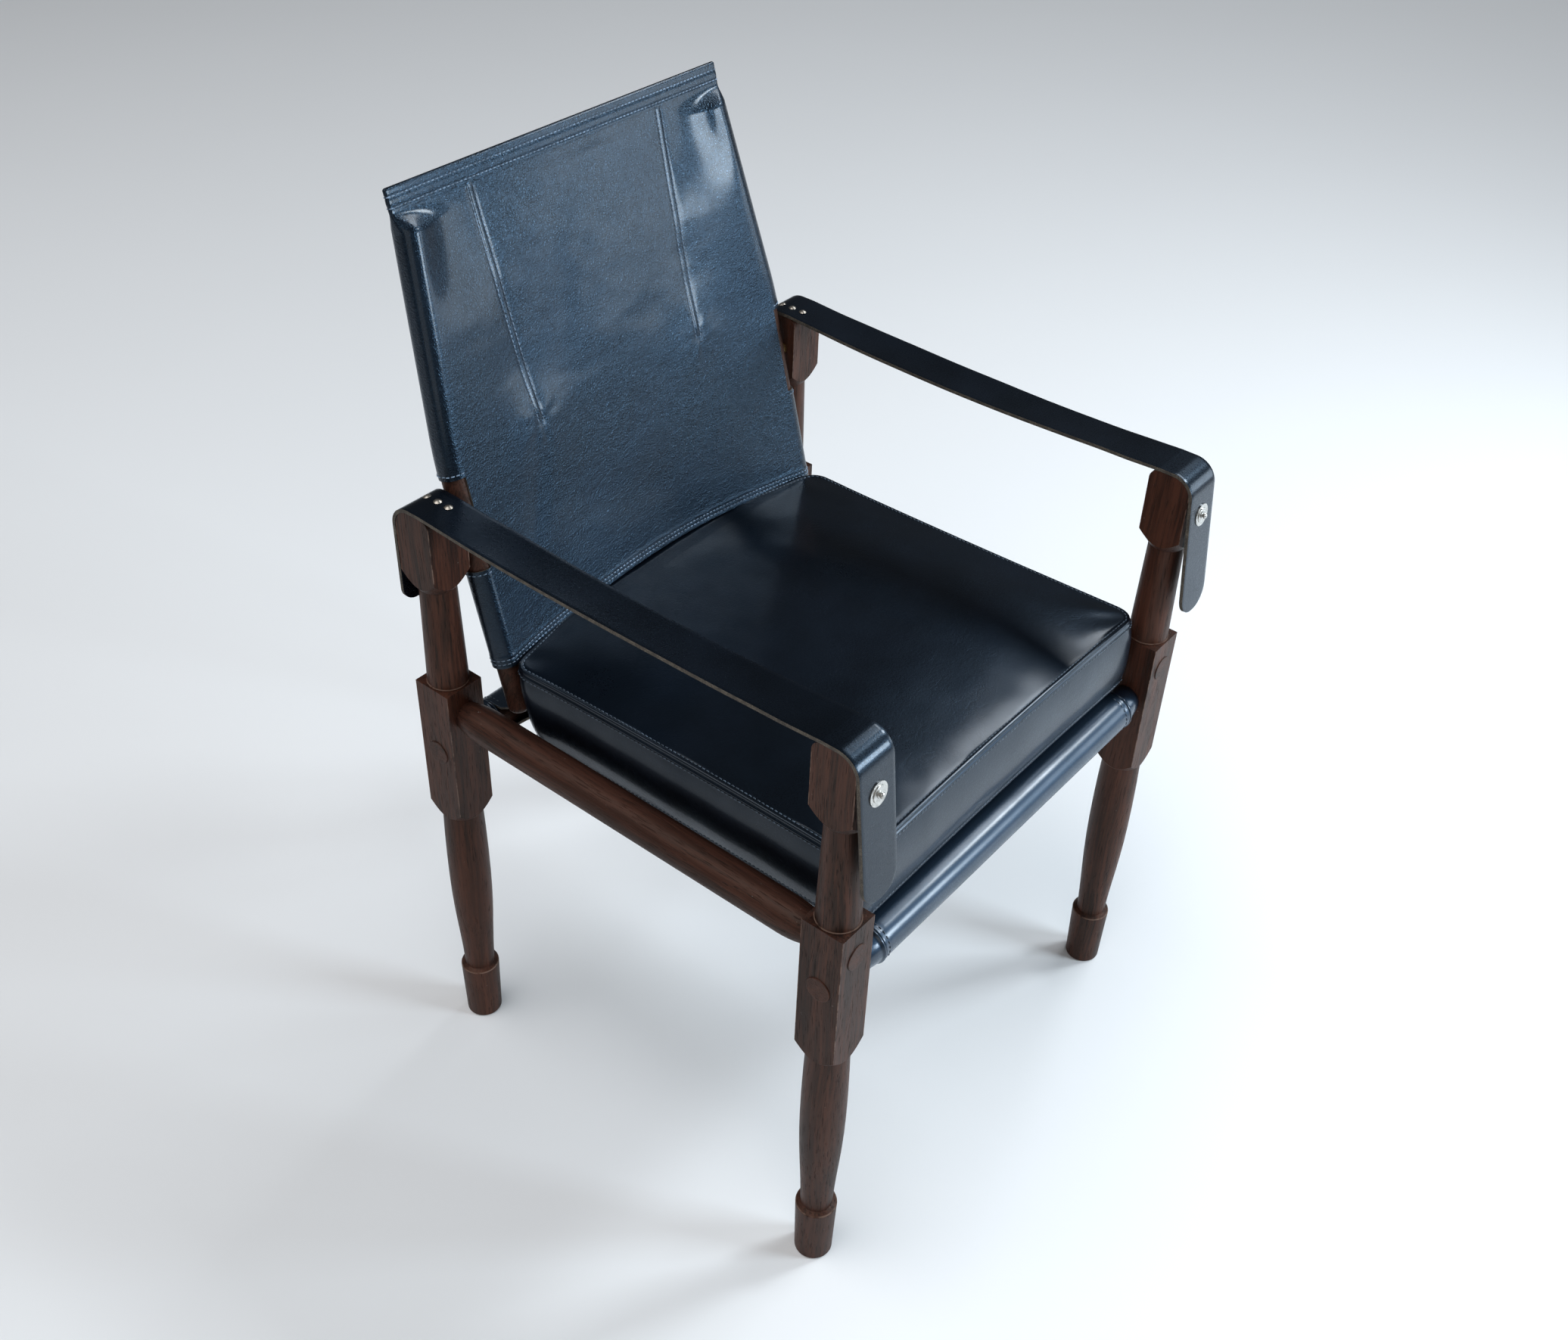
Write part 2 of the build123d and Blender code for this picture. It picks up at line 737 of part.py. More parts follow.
finish(back_sleeve, "back_sleeve")

# Arm straps: down the front leg, over both legs with a slight sag, down the rear leg
strap_middle_y = (front_leg_y + rear_leg_y) / 2
strap_path_height = leg_height + strap_gap + strap_thickness / 2
crown_height = leg_height - crown_outer_radius
front_crown_y = front_leg_y - half_block + crown_outer_radius
rear_crown_y = rear_leg_y + half_block - crown_outer_radius
inner_edge_y = rear_leg_y - half_block + crown_inner_radius
inner_path_radius = crown_inner_radius + strap_gap + strap_thickness / 2
half_span = inner_edge_y - strap_middle_y
sag_angle = 2 * atan(strap_sag / half_span)
inner_turn = inner_path_radius * sin(sag_angle)
inner_fall = inner_path_radius * (1 - cos(sag_angle))
sag_radius = (half_span - inner_turn) / sin(sag_angle)
front_arc_end = (
    front_crown_y - strap_path_radius * cos(flare),
    crown_height + strap_path_radius * sin(flare),
)
front_tip_y = front_arc_end[0] - (front_arc_end[1] - strap_front_tip) * sin(flare) / cos(flare)
front_inner_y = 2 * strap_middle_y - inner_edge_y

for side, side_name in ((-1, "left"), (1, "right")):
    x = side * leg_x
    with BuildPart() as arm_strap:
        with BuildSketch(Plane.YZ.offset(x)):
            with BuildLine():
                Line((front_tip_y, strap_front_tip), front_arc_end)
                CenterArc((front_crown_y, crown_height), strap_path_radius, 90, 90 - strap_flare)
                Line((front_crown_y, strap_path_height), (front_inner_y, strap_path_height))
                CenterArc(
                    (front_inner_y, strap_path_height - inner_path_radius),
                    inner_path_radius,
                    90,
                    -degrees(sag_angle),
                )
                CenterArc(
                    (strap_middle_y, strap_path_height - inner_fall + sag_radius * cos(sag_angle)),
                    sag_radius,
                    270 - degrees(sag_angle),
                    2 * degrees(sag_angle),
                )
                CenterArc(
                    (inner_edge_y, strap_path_height - inner_path_radius),
                    inner_path_radius,
                    90,
                    degrees(sag_angle),
                )
                Line((inner_edge_y, strap_path_height), (rear_crown_y, strap_path_height))
                CenterArc((rear_crown_y, crown_height), strap_path_radius, 90, -90)
                Line(
                    (rear_crown_y + strap_path_radius, crown_height),
                    (rear_crown_y + strap_path_radius, strap_rear_tip),
                )
            trace(line_width=strap_thickness)
        extrude(amount=strap_width / 2, both=True)
        # Rounded ends, the front one first
        for tip, round_radius in ((slice(0, 2), strap_front_round), (slice(-2, None), strap_rear_round)):
            corners = [
                edge
                for edge in arm_strap.edges().filter_by(GeomType.LINE).sort_by(Axis.Y)
                if abs(edge.length - strap_thickness) < strap_gap / 2
            ]
            fillet(corners[tip], round_radius)
        # Holes for the button stud and the pins
        with BuildSketch(stud_plane(x)):
            Circle(stud_shank_radius + fastener_clearance)
        extrude(amount=-strap_thickness - overrun, mode=Mode.SUBTRACT)
        for pin_plane in pin_planes(side):
            with BuildSketch(pin_plane.offset(overrun)):
                Circle(pin_shank_radius + fastener_clearance)
            extrude(amount=-strap_thickness - 2 * overrun, mode=Mode.SUBTRACT)
    finish(arm_strap, f"arm_strap_{side_name}")

# Button studs and their stepped washers
for side, side_name in ((-1, "left"), (1, "right")):
    face = stud_plane(side * leg_x)
    washer_height = washer_thickness + washer_step_height
    ball_height = washer_height + stud_neck + stud_ball_radius
    with BuildPart() as stud_washer:
        with BuildSketch(face):
            Circle(washer_radius)
            Circle(stud_shank_radius + fastener_clearance, mode=Mode.SUBTRACT)
        extrude(amount=washer_thickness)
        with BuildSketch(face.offset(washer_thickness)):
            Circle(washer_step_radius)
            Circle(stud_shank_radius + fastener_clearance, mode=Mode.SUBTRACT)
        extrude(amount=washer_step_height)
        rims = stud_washer.faces().sort_by(Axis(face.origin, face.z_dir))[-1].outer_wire().edges()
        fillet(rims, washer_step_height / 2)
    finish(stud_washer, f"stud_washer_{side_name}")
    with BuildPart() as strap_stud:
        with BuildSketch(face.offset(-stud_shank_depth)):
            Circle(stud_shank_radius)
        extrude(amount=stud_shank_depth + ball_height)
        with Locations(face.offset(ball_height)):
            Sphere(stud_ball_radius)
    finish(strap_stud, f"strap_stud_{side_name}")

# Domed pins, three over each rear leg
pin_dome_radius = (pin_head_radius**2 + pin_head_height**2) / (2 * pin_head_height)
with BuildPart() as strap_pins:
    for side in (-1, 1):
        for pin_plane in pin_planes(side):
            with BuildSketch(Plane(origin=pin_plane.origin, x_dir=pin_plane.x_dir, z_dir=-pin_plane.y_dir)):
                with BuildLine():
                    Line((0, -pin_shank_length), (pin_shank_radius, -pin_shank_length))
                    Line((pin_shank_radius, -pin_shank_length), (pin_shank_radius, 0))
                    Line((pin_shank_radius, 0), (pin_head_radius, 0))
                    ThreePointArc(
                        (pin_head_radius, 0),
                        (
                            pin_dome_radius * sin(asin(pin_head_radius / pin_dome_radius) / 2),
                            pin_head_height
                            - pin_dome_radius * (1 - cos(asin(pin_head_radius / pin_dome_radius) / 2)),
                        ),
                        (0, pin_head_height),
                    )
                    Line((0, pin_head_height), (0, -pin_shank_length))
                make_face()
            revolve(axis=Axis(pin_plane.origin, pin_plane.z_dir))
finish(strap_pins, "strap_pins")
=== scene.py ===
"""A campaign chair: turned wood, a leather sling seat, a loose cushion, arm straps and a sleeve back."""

import itertools
import math

import bpy
import numpy as np
from bpy.props import FloatProperty, FloatVectorProperty, PointerProperty
from mathutils import Matrix, Vector, noise


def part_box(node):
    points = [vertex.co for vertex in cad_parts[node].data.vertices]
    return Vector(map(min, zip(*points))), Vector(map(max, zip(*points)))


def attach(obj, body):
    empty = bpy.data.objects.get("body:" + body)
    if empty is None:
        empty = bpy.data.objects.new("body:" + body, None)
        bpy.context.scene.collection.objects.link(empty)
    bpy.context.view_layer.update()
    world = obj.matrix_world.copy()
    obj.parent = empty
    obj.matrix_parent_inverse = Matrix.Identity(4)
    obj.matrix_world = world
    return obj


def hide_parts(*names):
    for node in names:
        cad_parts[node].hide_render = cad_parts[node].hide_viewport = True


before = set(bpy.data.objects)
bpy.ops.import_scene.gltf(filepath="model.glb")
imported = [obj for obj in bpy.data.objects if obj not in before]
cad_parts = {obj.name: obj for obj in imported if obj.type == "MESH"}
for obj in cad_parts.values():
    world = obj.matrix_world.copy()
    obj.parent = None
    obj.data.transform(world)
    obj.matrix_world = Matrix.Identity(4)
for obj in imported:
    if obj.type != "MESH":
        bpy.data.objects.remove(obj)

bl_info = {
    "name": "Campaign Chair Pieces",
    "version": (1, 0, 0),
    "blender": (4, 5, 0),
    "location": "3D View > Sidebar > Chair",
    "description": "Leather, stitching, wood and studio for the campaign chair's packed frame",
    "category": "Add Mesh",
}

MM = 0.001
SIDES = ((-1, "left"), (1, "right"))
COLOUR = {"subtype": "COLOR", "size": 3, "min": 0, "max": 1}


def axis_of(name):
    """Y and Z of the axis of a piece that runs across the chair."""
    low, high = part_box(name)
    return (low.y + high.y) / 2, (low.z + high.z) / 2


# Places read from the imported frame
LEG_LOW, LEG_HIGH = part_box("leg_front_right")
LEG_X = (LEG_LOW.x + LEG_HIGH.x) / 2
LEG_TOP = LEG_HIGH.z
HALF_BLOCK = (LEG_HIGH.x - LEG_LOW.x) / 2
FRONT_Y, FRONT_RAIL_Z = axis_of("front_rail")
REAR_Y, REAR_RAIL_Z = axis_of("rear_rail")
PIVOT = Vector((0, *axis_of("pivot_bolt_right")))
MIDDLE_Y = (FRONT_Y + REAR_Y) / 2
RAILS = (("front", FRONT_Y, FRONT_RAIL_Z), ("rear", REAR_Y, REAR_RAIL_Z))

# The seat's plane, through both cross rails, and the back's plane, through both stiles
SEAT_ORIGIN = np.array((0, FRONT_Y, FRONT_RAIL_Z))
SEAT_RUN = math.hypot(REAR_Y - FRONT_Y, REAR_RAIL_Z - FRONT_RAIL_Z)
SEAT_BACKWARD = np.array((0, REAR_Y - FRONT_Y, REAR_RAIL_Z - FRONT_RAIL_Z)) / SEAT_RUN
SEAT_UP = np.array((0, -SEAT_BACKWARD[2], SEAT_BACKWARD[1]))
LEAN = math.radians(15.1)
BACK_ORIGIN = np.array(PIVOT)
BACK_UP = np.array((0, math.sin(LEAN), math.cos(LEAN)))
BACK_FRONT = np.array((0, -math.cos(LEAN), math.sin(LEAN)))
ACROSS = np.array((1.0, 0, 0))

# Stiles of the back: where they bend and how far
STILE_X = 216 * MM
BEND_START = 40 * MM
BEND_RADIUS = 400 * MM
BEND_ANGLE = math.radians(6.84)
BEND_END = BEND_START + BEND_RADIUS * math.sin(BEND_ANGLE)
SLEEVE_RADIUS = 14.0 * MM


class ChairLeather(bpy.types.PropertyGroup):
    """Colours and grain that all the leather shares."""

    dye: FloatVectorProperty(
        name="Dye", description="Colour of the dyed leather", default=(0.0042, 0.0062, 0.0105), **COLOUR,
    )
    raw_edge: FloatVectorProperty(
        name="Raw edge", description="Colour of a cut edge", default=(0.13, 0.112, 0.090), **COLOUR,
    )
    # The thread's colour is raised above its own dark blue, as a painted glint on the stitches
    thread: FloatVectorProperty(
        name="Thread", description="Colour of the waxed thread", default=(0.15, 0.21, 0.29), **COLOUR,
    )
    grain_size: FloatProperty(
        name="Grain size", description="Width of one pebble of the grain", unit="LENGTH", default=2.4 * MM,
    )
    stitch_pitch: FloatProperty(
        name="Stitch pitch", description="Distance from one stitch to the next",
        unit="LENGTH", default=4.8 * MM,
    )
    stitch_width: FloatProperty(
        name="Thread width", description="Thickness of the thread", unit="LENGTH", default=1.25 * MM,
    )


class ChairWood(bpy.types.PropertyGroup):
    """Colours of the turned wood."""

    dark: FloatVectorProperty(
        name="Dark grain", description="Colour of the dense grain",
        default=(0.0125, 0.0056, 0.0042), **COLOUR,
    )
    light: FloatVectorProperty(
        name="Light grain", description="Colour of the open grain",
        default=(0.056, 0.022, 0.0145), **COLOUR,
    )
    # Pale colour on the legs' arrises and rings: worn polish on the arrises, with a painted highlight along
    # them and along the rings
    worn_and_highlight: FloatVectorProperty(
        name="Worn arris", description="Colour where the polish has worn off",
        default=(0.20, 0.13, 0.10), **COLOUR,
    )


class ChairCushion(bpy.types.PropertyGroup):
    """Sizes of the loose seat cushion."""

    width: FloatProperty(name="Width", description="Width at the seams", unit="LENGTH", default=454 * MM)
    depth: FloatProperty(name="Depth", description="Depth at the seams", unit="LENGTH", default=440 * MM)
    corner: FloatProperty(
        name="Corner", description="Radius of its corners", unit="LENGTH", default=19 * MM,
    )
    draw: FloatProperty(name="Draw", description="How far its sides pull in", unit="LENGTH", default=3 * MM)
    base: FloatProperty(
        name="Base", description="Its base above the rails' axes", unit="LENGTH", default=20.6 * MM,
    )
    lower_seam: FloatProperty(
        name="Lower seam", description="Height above the rails' axes", unit="LENGTH", default=29.5 * MM,
    )
    upper_seam: FloatProperty(
        name="Upper seam", description="Height above the rails' axes", unit="LENGTH", default=107.3 * MM,
    )
    crown: FloatProperty(
        name="Crown", description="Rise of the crown before it is filled", unit="LENGTH", default=9 * MM,
    )
    pressure: FloatProperty(
        name="Pressure", description="Push of the filling on the cover", default=4.0, min=0,
    )
    swell: FloatProperty(
        name="Swell", description="Most that the cover may move", unit="LENGTH", default=4.5 * MM,
    )


class ChairBack(bpy.types.PropertyGroup):
    """Sizes of the back sleeve."""

    hem: FloatProperty(name="Hem", description="Hem below the pivot", unit="LENGTH", default=142 * MM)
    hem_arch: FloatProperty(
        name="Hem arch", description="Rise of the hem's arch", unit="LENGTH", default=13.5 * MM,
    )
    top: FloatProperty(
        name="Top", description="Top edge above the pivot", unit="LENGTH", default=301.4 * MM,
    )
    seam: FloatProperty(
        name="Top seam", description="Height of the flat top seam", unit="LENGTH", default=20.4 * MM,
    )
    hollow: FloatProperty(
        name="Hollow", description="Depth of the front's hollow", unit="LENGTH", default=15 * MM,
    )
    thickness: FloatProperty(
        name="Thickness", description="Thickness of a layer", unit="LENGTH", default=1.6 * MM,
    )
    dart_top: FloatProperty(
        name="Dart top", description="Dart from the middle, at the seam", unit="LENGTH", default=119.5 * MM,
    )
    dart_end: FloatProperty(
        name="Dart end", description="Dart from the middle, at its end", unit="LENGTH", default=109.4 * MM,
    )
    dart_foot: FloatProperty(
        name="Dart foot", description="End of the dart above the pivot", unit="LENGTH", default=58 * MM,
    )


class ChairSling(bpy.types.PropertyGroup):
    """Sizes of the seat sling and of its roll caps."""

    roll_radius: FloatProperty(
        name="Roll radius", description="Outside radius of a roll", unit="LENGTH", default=20 * MM,
    )
    roll_half: FloatProperty(
        name="Half roll", description="Half of a roll's length", unit="LENGTH", default=205 * MM,
    )
    deck_half: FloatProperty(
        name="Half deck", description="Half of the deck's width", unit="LENGTH", default=188 * MM,
    )
    thickness: FloatProperty(
        name="Thickness", description="Thickness of the leather", unit="LENGTH", default=2.6 * MM,
    )
    lap: FloatProperty(
        name="Lap", description="End of the lap behind its roll", unit="LENGTH", default=84 * MM,
    )


class ChairStraps(bpy.types.PropertyGroup):
    """Sizes of the arm straps."""

    width: FloatProperty(name="Width", description="Width of a strap", unit="LENGTH", default=44 * MM)
    thickness: FloatProperty(
        name="Thickness", description="Thickness of a strap", unit="LENGTH", default=3.4 * MM,
    )
    sag: FloatProperty(name="Sag", description="Sag between the legs", unit="LENGTH", default=7 * MM)
    front_tip: FloatProperty(
        name="Front tip", description="Height of the front tip", unit="LENGTH", default=516 * MM,
    )
    rear_tip: FloatProperty(
        name="Rear tip", description="Height of the rear tip", unit="LENGTH", default=557 * MM,
    )


class ChairStage(bpy.types.PropertyGroup):
    """Floor and light, the powers of the lamps in watts."""

    floor: FloatVectorProperty(
        name="Floor", description="Colour of the floor", default=(0.80, 0.80, 0.80), **COLOUR,
    )
    window: FloatProperty(name="Window", description="Power of the window light", default=150.0, min=0)
    low: FloatProperty(name="Low light", description="Power of the low light in front", default=39.0, min=0)
    high: FloatProperty(
        name="High light", description="Power of the high light in front", default=32.0, min=0,
    )
    side: FloatProperty(
        name="Side light", description="Power of the soft light on the right", default=9.0, min=0,
    )
    fill: FloatProperty(name="Fill", description="Power of the fill light", default=10.0, min=0)
    overhead: FloatProperty(
        name="Overhead", description="Power of the overhead light", default=170.0, min=0,
    )
    room: FloatProperty(name="Room", description="Strength of the room's own light", default=0.08, min=0)


# Materials


class Value:
    """A socket of one material that takes part in Python arithmetic."""

    def __init__(self, finish, socket):
        self.finish, self.socket = finish, socket

    def _math(self, operation, first, second=0.0, clamp=False):
        return self.finish.node(
            "ShaderNodeMath", {"operation": operation, "use_clamp": clamp}, {0: first, 1: second}
        )

    def __add__(self, other):
        return self._math("ADD", self, other)

    def __radd__(self, other):
        return self._math("ADD", other, self)

    def __sub__(self, other):
        return self._math("SUBTRACT", self, other)

    def __rsub__(self, other):
        return self._math("SUBTRACT", other, self)

    def __mul__(self, other):
        return self._math("MULTIPLY", self, other)

    def __rmul__(self, other):
        return self._math("MULTIPLY", other, self)

    def __abs__(self):
        return self._math("ABSOLUTE", self)

    def clamp(self):
        return self._math("ADD", self, 0.0, clamp=True)

    def least(self, other):
        return self._math("MINIMUM", self, other)

    def most(self, other):
        return self._math("MAXIMUM", self, other)

    def rise(self, start, end):
        """From 0 at start to 1 at end, eased at both."""
        return self.finish.node(
            "ShaderNodeMapRange",
            {"interpolation_type": "SMOOTHSTEP"},
            {"Value": self, "From Min": start, "From Max": end, "To Min": 0.0, "To Max": 1.0},
        )


class Finish:
    """A material under construction around one Principled shader."""

    def __init__(self, name, **constants):
        self.material = bpy.data.materials.new(name)
        self.material.use_nodes = True
        self.tree = self.material.node_tree
        self.shader = self.tree.nodes["Principled BSDF"]
        for words, value in constants.items():
            self.shader.inputs[words.replace("_", " ")].default_value = value

    def node(self, kind, settings=None, inputs=None, output=0):
        """Add a node, set it up and return one of its outputs."""
        made = self.tree.nodes.new(kind)
        for key, value in (settings or {}).items():
            setattr(made, key, value)
        for key, value in (inputs or {}).items():
            if isinstance(value, Value):
                self.tree.links.new(value.socket, made.inputs[key])
            else:
                made.inputs[key].default_value = value
        return Value(self, made.outputs[output])

    def feed(self, **sockets):
        """Link values to the shader's sockets."""
        for words, value in sockets.items():
            self.tree.links.new(value.socket, self.shader.inputs[words.replace("_", " ")])

    def vector(self, operation, first, second):
        """Vector arithmetic; SCALE takes a plain number as its second value."""
        key = "Scale" if operation == "SCALE" else 1
        return self.node("ShaderNodeVectorMath", {"operation": operation}, {0: first, key: second})

    def place(self, location=(0, 0, 0), rotation=(0, 0, 0)):
        """Object coordinates, moved so that location is at the origin, then turned."""
        point = self.node("ShaderNodeTexCoord", output="Object")
        moved = self.vector("SUBTRACT", point, tuple(location))
        return self.node(
            "ShaderNodeMapping", {"vector_type": "POINT"}, {"Vector": moved, "Rotation": rotation}
        )

    def split(self, vector):
        """The three parts of a vector."""
        return [self.node("ShaderNodeSeparateXYZ", None, {0: vector}, axis) for axis in "XYZ"]

    def noise(self, vector, scale, detail=2.0, roughness=0.5, distortion=0.0):
        """Smooth noise between 0 and 1, its scale in cells per metre."""
        inputs = {"Scale": scale, "Detail": detail, "Roughness": roughness, "Distortion": distortion}
        return self.node("ShaderNodeTexNoise", None, {"Vector": vector, **inputs}, "Fac")

    def warp(self, vector, scale, detail, reach):
        """A place that soft noise moves by up to its reach along each axis."""
        inputs = {"Vector": vector, "Scale": scale, "Detail": detail}
        drift = self.node("ShaderNodeTexNoise", None, inputs, "Color")
        return self.vector("ADD", vector, self.vector("SCALE", drift, reach))

    def mix(self, factor, first, second):
        """Mix two colours."""
        colours = {
            key: (*value, 1.0) if isinstance(value, tuple) else value
            for key, value in ((6, first), (7, second))
        }
        return self.node(
            "ShaderNodeMix", {"data_type": "RGBA", "clamp_factor": True}, {0: factor, **colours}, 2
        )

    def bump(self, height):
        """Feed the normal from a height in metres."""
        inputs = {"Strength": 1.0, "Distance": 1.0, "Height": height}
        self.feed(Normal=self.node("ShaderNodeBump", None, inputs))


def tinted(colour, share):
    """A colour made darker or lighter."""
    return tuple(part * share for part in colour)


# How each hide is finished: the share of the dye, set per hide as painted light and shade, so that the
# sleeve and caps are lighter and the cushion darker; its shine and roughness, the strength of its grain and
# of its creases, and the wax on it
HIDES = {
    "cushion_leather": (0.30, 0.24, 0.30, 0.14, 0.4, 0.46),
    "sling_leather": (0.35, 0.60, 0.46, 0.12, 0.4, 0.80),
    "cap_leather": (0.50, 0.50, 0.34, 0.15, 0.5, 0.70),
    "strap_leather": (0.35, 0.24, 0.26, 0.10, 0.4, 0.25),
    "sleeve_leather": (0.50, 0.38, 0.26, 0.90, 1.0, 0.24),
}
# Painted blue casts for the bluish window light: one tints the leather's reflections, the other all under its
# wax coat
PAINTED_BLUE_SHINE = (0.40, 0.69, 1.0, 1.0)
PAINTED_BLUE_UNDER_COAT = (0.62, 0.81, 1.0, 1.0)
SCUFF_COLOUR = (0.20, 0.22, 0.25)
DRAWN_GRAIN = (0.45, 1, 1.25)


def leather(name):
    """Dyed leather with pebbled grain, meandering creases and handling marks."""
    settings = bpy.context.scene.chair_leather
    shade, shine, rough, grain, creases, wax = HIDES[name]
    # Each hide's share lightens the dye on some hides and darkens it on others, as painted light and shade
    dye = tinted(settings.dye, shade)
    finish = Finish(
        name,
        Specular_IOR_Level=shine, Specular_Tint=PAINTED_BLUE_SHINE, Coat_Roughness=rough * 0.55, Coat_Tint=PAINTED_BLUE_UNDER_COAT,
    )
    place = finish.place()
    warped = finish.warp(place, 55.0, 2.0, 0.004)
    drawn = finish.vector("MULTIPLY", warped, DRAWN_GRAIN)
    pebbles = finish.node(
        "ShaderNodeTexVoronoi", {"feature": "DISTANCE_TO_EDGE"},
        {"Vector": warped, "Scale": 1 / settings.grain_size, "Randomness": 1.0}, "Distance",
    ).rise(0.0, 0.32)
    broad = finish.noise(place, 9.0, 3.0, 0.55)
    handled = finish.noise(place, 21.0, 1.0).rise(0.5, 0.62)
    scuffs = finish.noise(place, 330.0, 3.0, 0.75).rise(0.70, 0.80) * handled
    colour = finish.mix(broad.rise(0.3, 0.75), dye, tinted(dye, 2.3))
    colour = finish.mix((1 - pebbles) * 0.35, colour, tinted(dye, 0.45))
    finish.feed(
        Base_Color=finish.mix(scuffs * 0.16, colour, SCUFF_COLOUR),
        Roughness=(rough + (broad - 0.5) * 0.16 + (1 - pebbles) * 0.10 + scuffs * 0.2).clamp(),
        Coat_Weight=finish.noise(place, 24.0, 3.0, 0.6) * wax + 0.5 * wax,
    )
    relief = grain_height(finish, place, drawn, pebbles, grain * MM)
    finish.bump(relief - crease_depth(finish, place, warped, creases * MM))
    return finish.material


def grain_height(finish, place, drawn, pebbles, scale):
    """Relief of the grain: pebbles, soft mottling, fine pores and drawn wrinkles."""
    mottle = finish.noise(drawn, 75.0, 2.0, 0.5)
    fine = finish.noise(place, 900.0, 2.0, 0.6)
    wrinkles = abs(finish.noise(drawn, 190.0, 2.0, 0.55, 0.3) - 0.5)
    pores = fine * (0.035 * scale)
    return pebbles * (0.13 * scale) + mottle * (0.38 * scale) + pores + wrinkles * (0.85 * scale)


def crease_depth(finish, place, warped, scale):
    """Depth of the creases: long ones that come in patches, and small ones all over."""
    patches = finish.noise(place, 17.0, 2.0).rise(0.45, 0.68)
    long_lines = (1 - abs(finish.noise(warped, 46.0, 3.0, 0.62, 0.6) - 0.5) * 26.0).clamp()
    small_lines = (1 - abs(finish.noise(warped, 150.0, 2.0, 0.6, 0.4) - 0.5) * 11.0).clamp()
    return long_lines * patches * (0.16 * scale) + small_lines * (0.05 * scale)


def raw_edge(name):
    """Cut edge of the leather: fibrous, paler and matt."""
    edge = tuple(bpy.context.scene.chair_leather.raw_edge)
    finish = Finish(name, Specular_IOR_Level=0.25)
    place = finish.place()
    fibres = finish.noise(place, 900.0, 3.0, 0.7)
    spots = finish.noise(place, 120.0, 2.0).rise(0.35, 0.7)
    colour = finish.mix(fibres.rise(0.3, 0.7), tinted(edge, 0.35), edge)
    colour = finish.mix(spots * 0.6, colour, (0.030, 0.027, 0.025))
    finish.feed(Base_Color=colour, Roughness=(0.62 + fibres * 0.25).clamp())
    finish.bump(fibres * (0.12 * MM))
    return finish.material


def waxed_thread(name, shade=1.0):
    """Waxed thread with a painted glint: its colour raised above the thread's own, and lighter still in
    patches.
    """
    colour = tinted(bpy.context.scene.chair_leather.thread, shade)
    finish = Finish(name, Specular_IOR_Level=0.6, Specular_Tint=(0.8, 0.9, 1.0, 1.0))
    place = finish.place()
    # Painted glint, stronger in patches
    glint_patches = finish.noise(place, 60.0, 2.0).rise(0.35, 0.75)
    strands = finish.noise(place, 2600.0, 1.0)
    finish.feed(
        Base_Color=finish.mix(glint_patches, tinted(colour, 0.55), tinted(colour, 1.5)),
        Roughness=(0.38 + strands * 0.2).clamp(),
    )
    finish.bump(strands * (0.06 * MM))
    return finish.material


def wear_and_highlight_places(finish, middle, breaks, arris, rings):
    """Where the pale colour goes: worn polish with a painted highlight along the arrises of square blocks,
    and a painted highlight band at round turned rings.
    """
    x, y, z = finish.split(middle)
    near = abs(x).least(abs(y)).rise(arris - 1.1 * MM, arris - 0.15 * MM)
    wear_and_highlight = near * breaks.rise(0.38, 0.6)
    for height in rings:
        band = (1 - abs(z - height) * (1 / (0.9 * MM))).clamp()
        wear_and_highlight = wear_and_highlight.most(band * breaks.rise(0.3, 0.55))
    return wear_and_highlight


def turned_wood(name, centre, rotation, seed, arris=None, rings=(), redness=1.0):
    """Dark open-pored wood with its grain along the turned Z axis; where an arris is given, worn polish and
    painted highlights on its arrises and rings.
    """
    settings = bpy.context.scene.chair_wood
    dark, light = tuple(settings.dark), tuple(settings.light)
    light = (light[0] * redness, light[1], light[2] / redness)
    finish = Finish(name, Specular_IOR_Level=0.24, Specular_Tint=(1.0, 0.80, 0.68, 1.0))
    middle = finish.place(centre, rotation)
    seeded = finish.warp(finish.vector("ADD", middle, (seed, seed * 1.7, seed * 0.6)), 7.0, 1.0, 0.010)

    def along_grain(stretch):
        return finish.vector("MULTIPLY", seeded, (1, 1, stretch))

    figure = finish.noise(along_grain(0.07), 75.0, 3.0, 0.55, 0.4)
    fibres = finish.noise(along_grain(0.035), 420.0, 3.0, 0.6)
    pores = finish.noise(along_grain(0.05), 900.0, 2.0, 0.6).rise(0.56, 0.66)
    broad = finish.noise(along_grain(0.3), 12.0, 2.0)
    colour = finish.mix((figure * 0.55 + fibres * 0.45).rise(0.36, 0.64), dark, light)
    colour = finish.mix(pores * 0.75, colour, tinted(dark, 0.35))
    colour = finish.mix(broad.rise(0.4, 0.8) * 0.35, colour, tinted(light, 1.5))
    rough = 0.40 + fibres * 0.12 + pores * 0.18
    if arris:
        # Worn polish and painted highlight on the arrises and rings
        wear_and_highlight = wear_and_highlight_places(finish, middle, finish.noise(seeded, 90.0, 3.0, 0.65), arris, rings)
        colour = finish.mix(wear_and_highlight * 0.75, colour, tuple(settings.worn_and_highlight))
        rough = rough + wear_and_highlight * 0.12
    specks = finish.noise(middle, 210.0, 2.0, 0.7).rise(0.73, 0.78)
    colour = finish.mix(specks * 0.35, colour, (0.30, 0.27, 0.25))
    finish.feed(Base_Color=colour, Roughness=rough.clamp())
    finish.bump(fibres * (0.05 * MM) - pores * (0.14 * MM) + figure * (0.05 * MM))
    return finish.material


